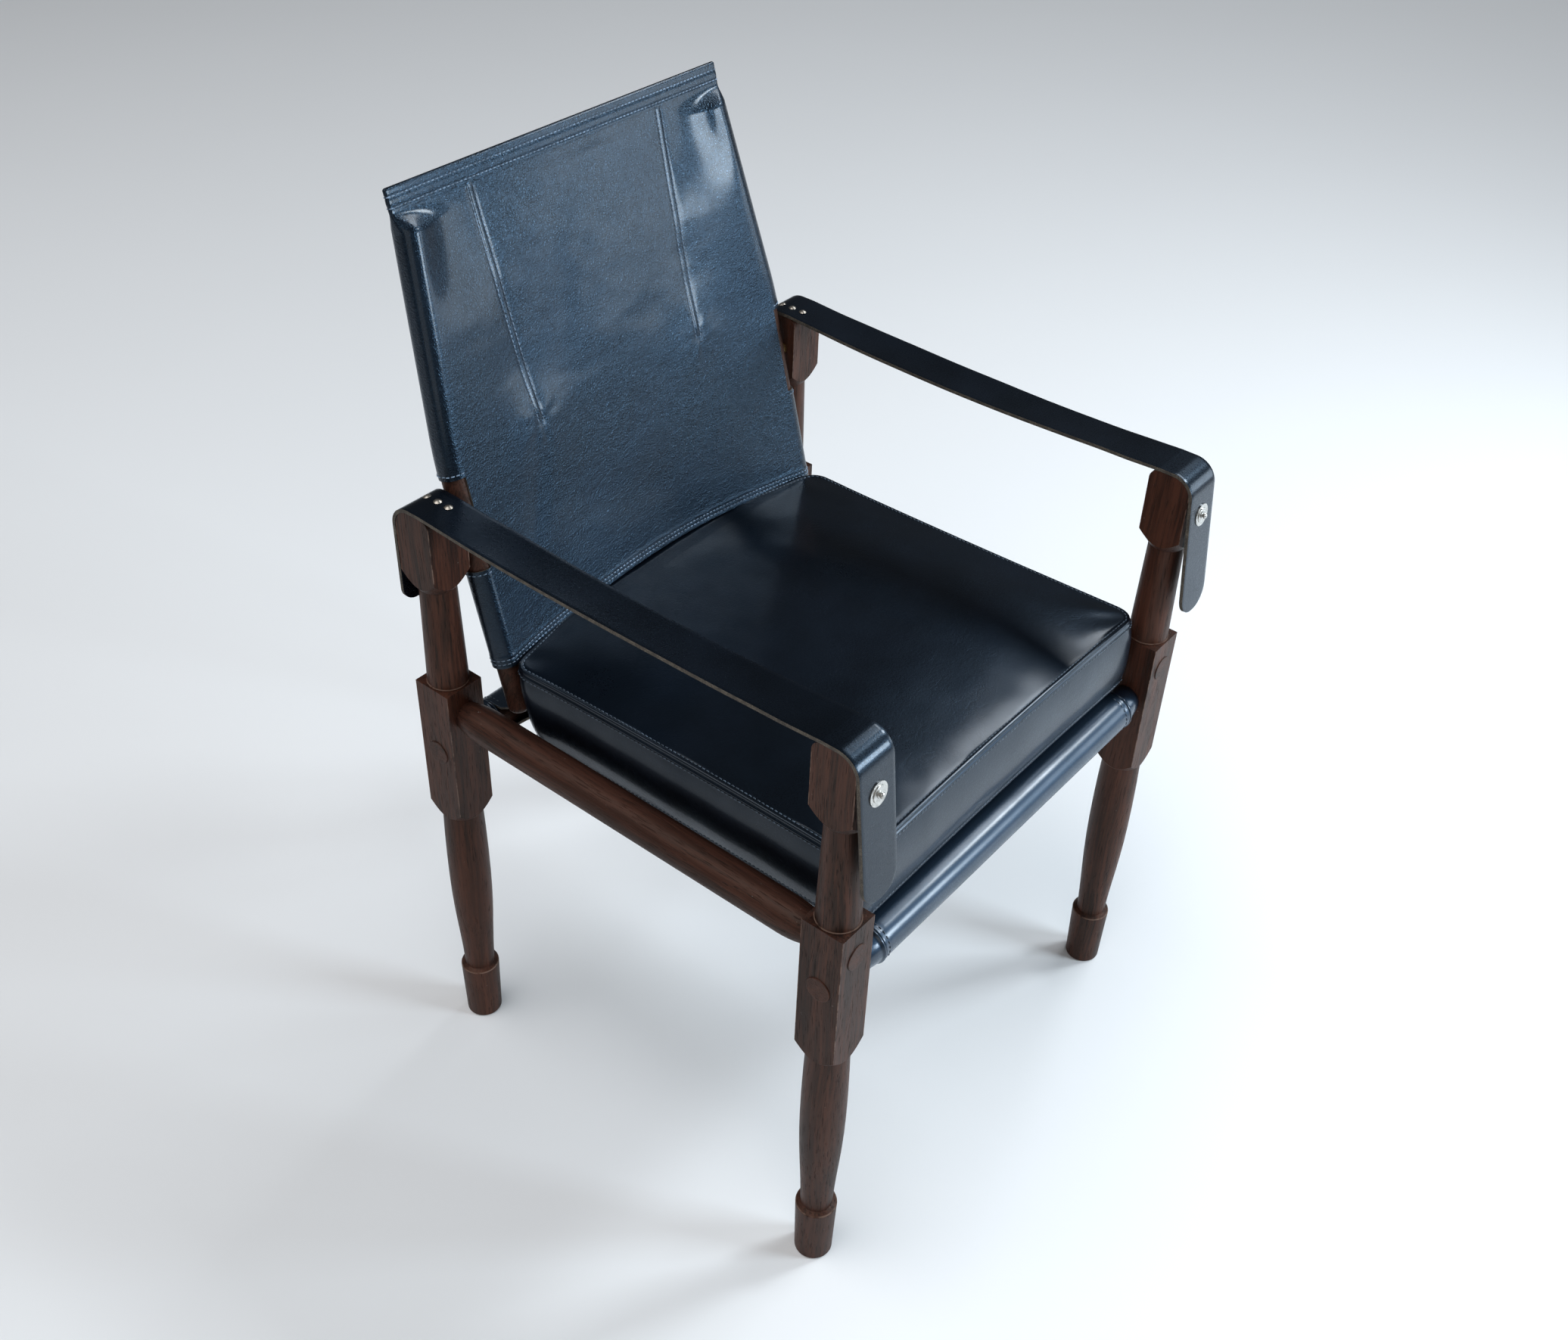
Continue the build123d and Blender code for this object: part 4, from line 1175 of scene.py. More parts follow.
def strap_path(size):
    """Middle of a strap's thickness, from its front tip to its rear tip: places in Y and Z."""
    outer, inner = HEAD_OUTER_RADIUS, HEAD_INNER_RADIUS
    lift = STRAP_CLEARANCE + size.thickness / 2
    bend, inner_bend = outer + lift, inner + lift
    crown_z, top_z = LEG_TOP - outer, LEG_TOP + lift
    front_crown, rear_crown = FRONT_Y - HALF_BLOCK + outer, REAR_Y + HALF_BLOCK - outer
    front_inner, rear_inner = FRONT_Y + HALF_BLOCK - inner, REAR_Y - HALF_BLOCK + inner
    half_span = rear_inner - MIDDLE_Y
    sag_angle = 2 * math.atan(size.sag / half_span)
    sag_radius = (half_span - inner_bend * math.sin(sag_angle)) / math.sin(sag_angle)
    sag_centre = top_z - inner_bend * (1 - math.cos(sag_angle)) + sag_radius * math.cos(sag_angle)
    first = (front_crown - bend * math.cos(STRAP_FLARE), crown_z + bend * math.sin(STRAP_FLARE))
    tip = (first[0] - (first[1] - size.front_tip) * math.tan(STRAP_FLARE), size.front_tip)
    turn = math.degrees(sag_angle)
    path = [tip] + run_between(tip, first, 44)
    path += arc((front_crown, crown_z), bend, 180 - math.degrees(STRAP_FLARE), 90, 22)[1:]
    path += run_between((front_crown, top_z), (front_inner, top_z), 5)
    path += arc((front_inner, top_z - inner_bend), inner_bend, 90, 90 - turn, 2)[1:]
    path += arc((MIDDLE_Y, sag_centre), sag_radius, 270 - turn, 270 + turn, 96)[1:]
    path += arc((rear_inner, top_z - inner_bend), inner_bend, 90 + turn, 90, 2)[1:]
    path += run_between((rear_inner, top_z), (rear_crown, top_z), 5)
    path += arc((rear_crown, crown_z), bend, 90, 0, 22)[1:]
    path += run_between((rear_crown + bend, crown_z), (rear_crown + bend, size.rear_tip), 40)
    return np.array(path)


def tip_cut(distance, radius):
    """How much a rounded tip takes off each edge at a distance from it."""
    short = radius - np.minimum(distance, radius)
    return radius - np.sqrt(np.maximum(0, radius**2 - short**2))


def strap_rows(size, path):
    """Y, Z and half width of each row; rows gather at the tips, where the width changes fast."""
    steps = np.concatenate(([0], np.cumsum(np.linalg.norm(np.diff(path, axis=0), axis=1))))
    length = steps[-1]
    between = (steps > FRONT_TIP_RADIUS + 1 * MM) & (steps < length - REAR_TIP_RADIUS - 1 * MM)
    runs = np.concatenate((
        FRONT_TIP_RADIUS * (1 - np.cos(np.linspace(0, np.pi / 2, TIP_ROWS[0]))),
        steps[between],
        length - REAR_TIP_RADIUS * (1 - np.cos(np.linspace(np.pi / 2, 0, TIP_ROWS[1]))),
    ))
    half_width = size.width / 2 - tip_cut(runs, FRONT_TIP_RADIUS) - tip_cut(length - runs, REAR_TIP_RADIUS)
    return np.interp(runs, steps, path[:, 0]), np.interp(runs, steps, path[:, 1]), half_width


class CHAIR_OT_arm_straps(bpy.types.Operator):
    """Arm straps: two thick leather straps with raw edges and rounded ends"""

    bl_idname = "chair.arm_straps"
    bl_label = "Arm straps"

    def execute(self, context):
        size = context.scene.chair_straps
        rows = strap_rows(size, strap_path(size))
        finish = leather("strap_leather")
        for side, side_name in SIDES:
            strap = self.bend_strap(f"arm_strap_leather_{side_name}", side, *rows)
            strap.data.materials.append(finish)
            strap.data.materials.append(context.scene["raw_edge"])
            thicken(strap, size.thickness, offset=0, rim=1)
            round_edges(strap, 0.45 * MM, material=1)
            smooth(strap, 50)
            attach(strap, "frame")
            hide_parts(f"arm_strap_{side_name}")
        return {"FINISHED"}

    def bend_strap(self, name, side, y, z, half_width):
        """One strap as a sheet, which cups and twists a little between the legs."""
        strap, column, row = new_sheet(name, STRAP_COLUMNS, len(y) - 1)
        share = column / STRAP_COLUMNS * 2 - 1
        points = np.stack((side * LEG_X + share * half_width[row], y[row], z[row]), axis=1)
        along = points[:, 1] - MIDDLE_Y
        free = 1 - smoothstep(*FREE_SPAN, np.abs(along))
        cupped = CUP_HEIGHT * (share**2 - 0.4) + TWIST_HEIGHT * share * np.sin(along / TWIST_LENGTH + side)
        points[:, 2] += free * (cupped + ripples(points, (75, 0.4, 4.0 + side, (1, 1, 1))))
        move_points(strap, points)
        face_outwards(strap)
        face_towards(strap, (0, 0, 1))
        return strap


# Back sleeve: its layers, the notch that shows each stile, and where the stiles end under the top seam
REAR, SIDE, FRONT = -1, 0, 1
NOTCH_TOP = 49 * MM
NOTCH_BASE = -41 * MM
NOTCH_EDGE = 2 * MM
SHOULDER = 262 * MM
SHOULDER_ROUND = 12 * MM
SEAM_HALF_DEPTH = 1.95 * MM
SEAM_HALF_WIDTH = 206 * MM

# Its columns in each stretch of half a layer and round a stile, and its rows in each stretch of its height
INNER_COLUMNS = 22
OUTER_COLUMNS = 20
ARC_COLUMNS = 14
FOOT_ROWS = 24
NOTCH_ROWS = 24
PANEL_ROWS = 50
SHOULDER_ROWS = 13

# Extra columns at a dart and rows at the hem and the top seam, where the stitching lies, in millimetres
DART_OFFSETS = (-6.2, -4.5, -3.2, -2.1, -1.0, 0.0, 1.0, 2.1, 3.2, 4.5, 6.2)
HEM_OFFSETS = (0.0, 0.7, 1.6, 2.8, 4.0, 5.2, 6.6, 8.0, 9.2, 10.6, 11.8, 12.8, 14.5, 17.5)
SEAM_OFFSETS = (
    0.0, 1.0, 2.2, 3.4, 4.6, 5.8, 7.4, 9.2, 11.0, 12.8, 14.2, 15.4, 16.6, 17.8, 18.8, 19.6, 20.1, 20.4,
)
DART_STITCH = 3.2
HEM_STITCHES = (4.0, 8.0)
SEAM_STITCHES = (3.4, 12.8)

# Slack in the hide, as layers for ripples(), with the share of the depth that it varies by, how much more of
# it the rear layer has, and how far that layer sinks in above the pivot
SLACK = ((95, 1.5, 1.0, (1, 0.75, 1)), (38, 0.42, 4.0, (0.7, 1.2, 1)), (15, 0.16, 9.0, (0.6, 1.3, 1)))
SLACK_THROUGH = 0.2
REAR_SLACK = 1.6
REAR_HOLLOW = 2.6 * MM
REAR_HOLLOW_RISE = (-142 * MM, 60 * MM)

# Facets of the hollow front: their depth as a share of the hollow's, how softly they start at the stile,
# and the steeper form that they take under the shoulders
FACET_DEPTH = 0.90
FACET_EASE = 0.07
STEEP_DEPTH = 0.94
STEEP_WIDTH = 27 * MM
STEEP_POWER = 1.4
STEEP_RISE = (SHOULDER - 95 * MM, SHOULDER - 5 * MM)
PANEL_DISH = 0.10
HOLLOW_TAPER = 0.10
FACET_START = (-16 * MM, 60 * MM)

# Marks of a dart: its raised welt, pressed in at both rows of stitches, and the puckers round its foot
WELT_HEIGHT = 0.35 * MM
WELT_WIDTH = 2.0 * MM
WELT_START = (-2 * MM, 3 * MM)
DART_STITCH_DEPTH = 0.35 * MM
DART_STITCH_WIDTH = 1.1 * MM
PUCKER_HEIGHT = 1.7 * MM
PUCKER_WIDTH = 32 * MM
DIMPLE_DEPTH = 0.8 * MM
DIMPLE_WIDTH = 5 * MM
RAYS = 7
RAY_HEIGHT = 0.3 * MM
RAY_PLACE = 15 * MM
RAY_WIDTH = 10 * MM

# A dent and a fold in each corner under the seam, and the drag line that slants down from each dart
DENT_DEPTH = 0.2 * MM
DENT_INSET = 20 * MM
DENT_ABOVE = 8 * MM
DENT_SIZE = (17 * MM, 8 * MM)
DENT_FADE = 0.4
FOLD_HEIGHT = 0.4 * MM
FOLD_INSET = 9 * MM
FOLD_SLANT = 0.10
FOLD_WIDTH = 5 * MM
FOLD_BELOW = 6 * MM
FOLD_LENGTH = 16 * MM
DRAG_DEPTH = 0.5 * MM
DRAG_SLANT = 0.42
DRAG_WIDTH = 13 * MM
DRAG_RISE = (-90 * MM, -10 * MM)
DRAG_TOP = 5 * MM

# Turned hem and top seam: how proud they stand and how deep their stitches press, with the places and widths
# in millimetres, as those of their rows are
HEM_HEIGHT = 0.35 * MM
HEM_STEP = (11.2, 12.6)
HEM_GROOVE_DEPTH = 0.45 * MM
HEM_GROOVE_WIDTH = 1.0
SEAM_HEIGHT = 0.30 * MM
SEAM_STEP = (-0.6, 0.8)
SEAM_SWELL = 0.22 * MM
SEAM_SWELL_PLACE = 8.2
SEAM_SWELL_WIDTH = 2.6
SEAM_GROOVE_DEPTH = 0.4 * MM
SEAM_GROOVE_WIDTH = 1.1
TOP_THINNING = 0.75
TOP_EDGE = (1.4 * MM, 0.1 * MM)

# Ridge along each stile and the valley before it: their angles round the stile and their spreads
RIDGE_HEIGHT = 0.8 * MM
RIDGE_ANGLE = 2.15
RIDGE_SPREAD = 0.16
VALLEY_SHARE = 0.6
VALLEY_ANGLE = 1.75
VALLEY_SPREAD = 0.2


def stile_shift(rise):
    """How far the stiles have bent in at a rise above the pivot."""
    rise = np.asarray(rise, dtype=float)
    on_bend = np.clip(rise - BEND_START, 0, BEND_END - BEND_START)
    bent = BEND_RADIUS - np.sqrt(BEND_RADIUS**2 - on_bend**2)
    return bent + np.maximum(0, rise - BEND_END) * math.tan(BEND_ANGLE)


def sleeve_rows(size):
    """Rise of each row in the middle of the layers' height and its share of the hem's arch."""
    seam_foot = size.top - size.seam
    rises = [-size.hem + offset * MM for offset in HEM_OFFSETS]
    arched = [1.0] * len(HEM_OFFSETS) + [1 - step / FOOT_ROWS for step in range(1, FOOT_ROWS + 1)]
    levels = (rises[-1], NOTCH_BASE, NOTCH_TOP, SHOULDER - SHOULDER_ROUND, seam_foot)
    counts = (FOOT_ROWS, NOTCH_ROWS, PANEL_ROWS, SHOULDER_ROWS)
    for start, end, count in zip(levels, levels[1:], counts):
        rises += [start + (end - start) * step / count for step in range(1, count + 1)]
    rises += [seam_foot + offset * MM for offset in SEAM_OFFSETS[1:]]
    arched += [0.0] * (len(rises) - len(arched))
    return np.array(rises), np.array(arched)


def sleeve_columns():
    """Each column's layer, side, form and share, from the middle of the rear round the left side and back."""
    half = [("inner", step / INNER_COLUMNS) for step in range(INNER_COLUMNS)]
    half += [("dart", offset * MM) for offset in DART_OFFSETS]
    half += [("outer", step / OUTER_COLUMNS) for step in range(1, OUTER_COLUMNS)]
    half += [("notch", 1.0), ("stile", 1.0)]
    turns = [step / ARC_COLUMNS for step in range(1, ARC_COLUMNS)]
    columns = [(REAR, -1, *place) for place in half]
    columns += [(SIDE, -1, "arc", turn) for turn in turns]
    columns += [(FRONT, -1, *place) for place in reversed(half)]
    columns += [(FRONT, 1, *place) for place in half[1:]]
    columns += [(SIDE, 1, "arc", 1 - turn) for turn in turns]
    columns += [(REAR, 1, *place) for place in reversed(half)]
    return columns


def grooves(above, stitches, width):
    """Where rows of stitches press into the hide, from 0 to 1."""
    return sum(bell(above - stitch, width) for stitch in stitches)


class SleeveGrid:
    """The sleeve's sheet, and where each of its vertices lies across, up the back and ahead of the stiles."""

    def __init__(self, size):
        self.size = size
        self.seam_foot = size.top - size.seam
        self.rises, self.arched = sleeve_rows(size)
        self.kinds = sleeve_columns()
        self.rows, self.columns = len(self.rises) - 1, len(self.kinds) - 1
        self.piece, self.column, self.row = new_sheet("back_sleeve_leather", self.columns, self.rows)
        layer, self.side, self.form, self.share = (np.array(each)[self.column] for each in zip(*self.kinds))
        self.front, self.rear, self.on_side = layer == FRONT, layer == REAR, layer == SIDE
        self.angle = self.share * np.pi
        self.rise = self.rises[self.row]
        self.top_edge = self.row == self.rows

    def bend(self):
        """Bend the sheet into the finished sleeve."""
        self.lay_section()
        self.arch_hem()
        relief = np.where(self.front, self.hollow() + self.dart_marks() + self.folds(), 0.0) + self.slack()
        swell = self.stitched_bands() + np.where(self.on_side, self.stile_ridge(), 0.0)
        flat_depth = relief + swell * np.where(self.front, 1, -1)
        depth = self.depth + np.where(self.on_side, -np.cos(self.angle) * swell, flat_depth)
        x = self.x + np.where(self.on_side, self.side * np.sin(self.angle) * swell, 0.0)
        move_points(self.piece, back_space(x, self.rise, depth))

    def lay_section(self):
        """Lay the columns round both stiles, flat at the top seam and pinched to its edge."""
        size = self.size
        self.pinch = smoothstep(SHOULDER, self.seam_foot, self.rise)
        half_depth = SLEEVE_RADIUS + (SEAM_HALF_DEPTH - SLEEVE_RADIUS) * self.pinch
        thinned = smoothstep(size.top - TOP_EDGE[0], size.top - TOP_EDGE[1], self.rise)
        half_depth *= 1 - TOP_THINNING * thinned
        half_depth = np.where(self.top_edge, 0.0, half_depth)
        stile = STILE_X - stile_shift(np.minimum(self.rise, SHOULDER))
        centre = stile + (SEAM_HALF_WIDTH - SEAM_HALF_DEPTH - stile) * self.pinch
        dart = np.interp(self.rise, (size.dart_foot, self.seam_foot), (size.dart_end, size.dart_top))
        gather = DART_OFFSETS[-1] * MM
        inside = centre - NOTCH_EDGE
        x = np.select(
            [self.form == form for form in ("inner", "dart", "outer", "notch")],
            [
                self.share * (dart - gather),
                dart + self.share,
                dart + gather + self.share * (inside - dart - gather),
                inside,
            ],
            centre,
        )
        self.x = np.where(self.on_side, centre + half_depth * np.sin(self.angle), x) * self.side
        flat_depth = half_depth * np.where(self.front, 1, -1)
        self.depth = np.where(self.on_side, -half_depth * np.cos(self.angle), flat_depth)
        self.centre, self.dart = centre, dart

    def arch_hem(self):
        """Raise the hem between the stiles."""
        arch = np.where(self.on_side, 0.0, self.size.hem_arch * np.maximum(0, 1 - (self.x / STILE_X) ** 2))
        self.rise = self.rise + self.arched[self.row] * arch
        self.off_dart = np.abs(self.x) - self.dart
        self.off_stile = self.centre - np.abs(self.x)
        self.dished = 1 - np.minimum(1, np.abs(self.x) / np.maximum(self.centre, 1e-6)) ** 2

    def hollow(self):
        """The front is hollow, more so towards the hem, with a facet from each dart to its stile."""
        size, rise = self.size, self.rise
        slope = np.clip(self.off_stile / (self.centre - self.dart), 0, 1)
        ramp = FACET_DEPTH * (1 + FACET_EASE) * slope**2 / (slope + FACET_EASE)
        steep = STEEP_DEPTH * (1 - np.exp(-((np.maximum(0, self.off_stile) / STEEP_WIDTH) ** STEEP_POWER)))
        ramp = ramp + (steep - ramp) * smoothstep(*STEEP_RISE, rise)
        middle = np.maximum(ramp, 1 - PANEL_DISH * (np.abs(self.x) / self.dart) ** 2)
        faceted = np.where(self.off_dart < 0, middle, ramp)
        dart_on = smoothstep(*FACET_START, rise - size.dart_foot)
        taper = 1 - HOLLOW_TAPER * (rise + size.hem) / (SHOULDER + size.hem)
        depth = size.hollow * taper * (1 - self.pinch)
        return -depth * (self.dished + (faceted - self.dished) * dart_on)

    def dart_marks(self):
        """The welt of each dart with its stitches, and the puckers of the leather at its foot."""
        above = self.rise - self.size.dart_foot
        on_dart = smoothstep(*WELT_START, above) * (self.rise < self.seam_foot)
        welt = WELT_HEIGHT * bell(self.off_dart, WELT_WIDTH)
        welt -= DART_STITCH_DEPTH * bell(np.abs(self.off_dart) - DART_STITCH * MM, DART_STITCH_WIDTH)
        foot, around = np.hypot(self.off_dart, above), np.arctan2(self.off_dart, above)
        pucker = PUCKER_HEIGHT * bell(foot, PUCKER_WIDTH) - DIMPLE_DEPTH * bell(foot, DIMPLE_WIDTH)
        pucker += RAY_HEIGHT * np.cos(around * RAYS + self.side) * bell(foot - RAY_PLACE, RAY_WIDTH)
        return on_dart * welt + pucker

    def folds(self):
        """Folds in the corners under the seam, and drag lines below the darts."""
        rise, dart_foot = self.rise, self.size.dart_foot
        sideways = bell(DENT_INSET - self.off_stile, DENT_SIZE[0])
        dent = sideways * bell(rise - SHOULDER - DENT_ABOVE, DENT_SIZE[1])
        folds = -DENT_DEPTH * dent * (1 - DENT_FADE * self.pinch)
        off_fold = FOLD_INSET + (SHOULDER - rise) * FOLD_SLANT - self.off_stile
        fold_end = bell(rise - (SHOULDER - FOLD_BELOW), FOLD_LENGTH)
        folds += FOLD_HEIGHT * bell(off_fold, FOLD_WIDTH) * fold_end
        off_drag = self.off_dart - (dart_foot - rise) * DRAG_SLANT
        below = smoothstep(*DRAG_RISE, rise) * (rise < dart_foot + DRAG_TOP)
        return folds - DRAG_DEPTH * bell(off_drag, DRAG_WIDTH) * below

    def slack(self):
        """Slack of both layers between the stiles, more of it at the rear."""
        flat = np.stack((self.x, self.rise, self.depth * SLACK_THROUGH), axis=1)
        ease = self.dished * (1 - self.pinch)
        slack = ripples(flat, *SLACK) * ease * np.where(self.front, 1.0, REAR_SLACK)
        sunk = REAR_HOLLOW * ease * smoothstep(*REAR_HOLLOW_RISE, self.rise)
        return np.where(self.on_side, 0.0, slack) - np.where(self.rear, sunk, 0.0)

    def stitched_bands(self):
        """The turned hem and the top seam stand proud, with a groove at each row of stitches."""
        above_hem = np.interp(self.row, range(len(HEM_OFFSETS)), HEM_OFFSETS, right=np.inf)
        hem = HEM_HEIGHT * (1 - smoothstep(*HEM_STEP, above_hem))
        hem -= HEM_GROOVE_DEPTH * grooves(above_hem, HEM_STITCHES, HEM_GROOVE_WIDTH)
        above_seam = (self.rise - self.seam_foot) / MM
        seam = SEAM_HEIGHT * smoothstep(*SEAM_STEP, above_seam)
        seam += SEAM_SWELL * bell(above_seam - SEAM_SWELL_PLACE, SEAM_SWELL_WIDTH)
        seam -= SEAM_GROOVE_DEPTH * grooves(above_seam, SEAM_STITCHES, SEAM_GROOVE_WIDTH)
        return np.where(self.top_edge, 0.0, hem + seam)

    def stile_ridge(self):
        """A soft ridge that follows each stile's outer front."""
        ridge = bell(self.angle - RIDGE_ANGLE, RIDGE_SPREAD)
        ridge -= VALLEY_SHARE * bell(self.angle - VALLEY_ANGLE, VALLEY_SPREAD)
        return RIDGE_HEIGHT * ridge * (1 - self.pinch) * (self.rise > NOTCH_TOP)

    def row_at(self, rise):
        """The row that lies nearest a rise above the pivot."""
        return int(np.argmin(np.abs(self.rises - rise)))

    def notch_columns(self):
        """First and last column of the notch on each side."""
        ends = []
        for side, _ in SIDES:
            on_notch = [kind[1] == side and kind[2] in ("notch", "stile", "arc") for kind in self.kinds]
            ends.append((on_notch.index(True), len(on_notch) - 1 - on_notch[::-1].index(True)))
        return ends

    def seams(self):
        """Rows of stitches along the top seam, the hem, the darts and the notches of the bent sheet."""
        table = np.empty((self.columns + 1, self.rows + 1, 3))
        table[self.column, self.row] = points_of(self.piece)
        normal = unit(np.cross(np.gradient(table, axis=0), np.gradient(table, axis=1)))
        middle = self.kinds.index((FRONT, -1, "inner", 0.0))
        if normal[middle, self.rows // 2] @ BACK_FRONT < 0:
            normal = -normal

        def seam(columns, rows):
            return table[columns, rows], normal[columns, rows]

        seam_row = self.rows - (len(SEAM_OFFSETS) - 1)
        seams = [seam(slice(2, -2), seam_row + SEAM_OFFSETS.index(offset)) for offset in SEAM_STITCHES]
        seams += [seam(slice(None), HEM_OFFSETS.index(offset)) for offset in HEM_STITCHES]
        dart_rows = slice(self.row_at(self.size.dart_foot), seam_row)
        for index, (layer, _, form, share) in enumerate(self.kinds):
            if layer == FRONT and form == "dart" and abs(share) == DART_STITCH * MM:
                seams.append(seam(index, dart_rows))
        for first, last in self.notch_columns():
            for index in (self.row_at(NOTCH_BASE) - 1, self.row_at(NOTCH_TOP) + 1):
                seams.append(seam(slice(first, last + 1), index))
        return seams

    def cut_notches(self):
        """Cut the notches where the stiles turn on the legs."""
        in_height = (self.row >= self.row_at(NOTCH_BASE)) & (self.row <= self.row_at(NOTCH_TOP))
        notches = [
            in_height & (self.column >= first) & (self.column <= last) for first, last in self.notch_columns()
        ]
        doomed = [
            face.index
            for face in self.piece.data.polygons
            if any(notch[list(face.vertices)].all() for notch in notches)
        ]
        activate(self.piece)
        bpy.ops.object.mode_set(mode="EDIT")
        bpy.ops.mesh.select_mode(type="FACE")
        bpy.ops.mesh.select_all(action="DESELECT")
        bpy.ops.object.mode_set(mode="OBJECT")
        for index in doomed:
            self.piece.data.polygons[index].select = True
        bpy.ops.object.mode_set(mode="EDIT")
        bpy.ops.mesh.delete(type="FACE")
        bpy.ops.mesh.select_mode(type="VERT")
        bpy.ops.object.mode_set(mode="OBJECT")


class CHAIR_OT_back_sleeve(bpy.types.Operator):
    """Back sleeve: front and rear layers over both stiles, darts, top seam, side notches and an arched hem"""

    bl_idname = "chair.back_sleeve"
    bl_label = "Back sleeve"

    def execute(self, context):
        size = context.scene.chair_back
        grid = SleeveGrid(size)
        grid.bend()
        seams = grid.seams()
        grid.cut_notches()
        sleeve = grid.piece
        weld(sleeve)
        face_towards(sleeve, BACK_FRONT)
        sleeve.data.materials.append(leather("sleeve_leather"))
        sleeve.data.materials.append(context.scene["raw_edge"])
        thicken(sleeve, size.thickness, rim=1)
        smooth(sleeve, 60)
        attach(sleeve, "back")
        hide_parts("back_sleeve")
        stitched("sleeve_stitches", seams, "back", context.scene["thread"])
        return {"FINISHED"}


# Finishes on the frame's own nodes
# Heights of the turned rings on the legs, which get a painted highlight band
HIGHLIGHT_RINGS = (468.4 * MM, 72 * MM)
SIDE_RAIL_Z = 434 * MM
SEED_STEP = 1.37
REDNESS_SPREAD = 0.12


def dress(name, material):
    """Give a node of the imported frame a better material."""
    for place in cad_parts[name].material_slots:
        place.material = material


class CHAIR_OT_wood(bpy.types.Operator):
    """Turned wood: grain along each leg, rail and stile, with worn polish and painted highlights on the
    arrises and rings of the legs
    """

    bl_idname = "chair.wood"
    bl_label = "Turned wood"

    def execute(self, context):
        seeds = itertools.accumulate(itertools.repeat(SEED_STEP))
        for end, y, _ in RAILS:
            for side, side_name in SIDES:
                name, seed = f"leg_{end}_{side_name}", next(seeds)
                dress(name, turned_wood(
                    f"{name}_wood", (side * LEG_X, y, 0), (0, 0, 0), seed,
                    arris=HALF_BLOCK, rings=HIGHLIGHT_RINGS, redness=1.0 + REDNESS_SPREAD * math.sin(seed * 5),
                ))
        across, backward = (0, math.pi / 2, 0), (math.pi / 2, 0, 0)
        pieces = []
        for side, side_name in SIDES:
            pieces.append((f"side_rail_{side_name}", (side * LEG_X, 0, SIDE_RAIL_Z), backward))
            pieces.append((f"back_stile_{side_name}", (side * STILE_X, PIVOT.y, PIVOT.z), (-LEAN, 0, 0)))
        pieces += [(f"{end}_rail", (0, y, z), across) for end, y, z in RAILS]
        for name, centre, rotation in pieces:
            dress(name, turned_wood(f"{name}_wood", centre, rotation, next(seeds)))
        return {"FINISHED"}


# Button stud: height over the strap's face and radius, in millimetres
STUD_PROFILE = (
    (-24.0, 0.0), (-24.0, 2.1), (-23.6, 2.4), (0.5, 2.4), (1.84, 2.4), (1.86, 3.5), (2.15, 3.55),
    (2.3, 3.3), (2.35, 2.1), (2.9, 2.1), (3.4, 2.6), (4.0, 2.9), (4.7, 2.8), (5.2, 2.4), (5.6, 1.6),
    (5.8, 0.8), (5.85, 0.0),
)
WASHER_RADIUS = 11 * MM


def button_stud(side_name, finish):
    """A turned stud with a low domed button, on the axis of the washer that it holds."""
    low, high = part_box(f"stud_washer_{side_name}")
    outward = np.array((0, -math.cos(STRAP_FLARE), math.sin(STRAP_FLARE)))
    upward = np.array((0, math.sin(STRAP_FLARE), math.cos(STRAP_FLARE)))
    foot = np.array((
        (low.x + high.x) / 2,
        high.y - WASHER_RADIUS * math.sin(STRAP_FLARE),
        low.z + WASHER_RADIUS * math.cos(STRAP_FLARE),
    ))
    steps = len(STUD_PROFILE) - 1
    clear_selection()
    bpy.ops.mesh.primitive_uv_sphere_add(segments=32, ring_count=steps, radius=1)
    stud = bpy.context.object
    stud.name = stud.data.name = f"button_stud_{side_name}"
    unit_ball = points_of(stud)
    ring = steps - np.rint(np.arccos(np.clip(unit_ball[:, 2], -1, 1)) / np.pi * steps).astype(int)
    angle = np.arctan2(unit_ball[:, 1], unit_ball[:, 0])
    profile = np.array(STUD_PROFILE)[ring] * MM
    across_axis = np.outer(np.cos(angle), ACROSS) + np.outer(np.sin(angle), upward)
    move_points(stud, foot + np.outer(profile[:, 0], outward) + across_axis * profile[:, 1:])
    face_outwards(stud)
    smooth(stud, 40)
    stud.data.materials.append(finish)
    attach(stud, "frame")
    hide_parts(f"strap_stud_{side_name}")


class CHAIR_OT_fittings(bpy.types.Operator):
    """Fittings: button studs, washers, domed pins, pivot bolts and spacers"""

    bl_idname = "chair.fittings"
    bl_label = "Metal fittings"

    def execute(self, context):
        nickel = metal("nickel_plate", (0.50, 0.49, 0.465), rough=0.20, dulled=0.6)
        pins = metal("pin_nickel", (0.40, 0.36, 0.31), rough=0.30, dulled=0.8)
        steel = metal("bolt_steel", (0.50, 0.50, 0.51), rough=0.34, dulled=0.4, brushed=0.1)
        brass = metal("spacer_brass", (0.60, 0.44, 0.20), rough=0.33, dulled=0.5)
        for _, side_name in SIDES:
            button_stud(side_name, nickel)
            dress(f"stud_washer_{side_name}", nickel)
            dress(f"pivot_bolt_{side_name}", steel)
            dress(f"pivot_spacer_{side_name}", brass)
        dress("strap_pins", pins)
        return {"FINISHED"}


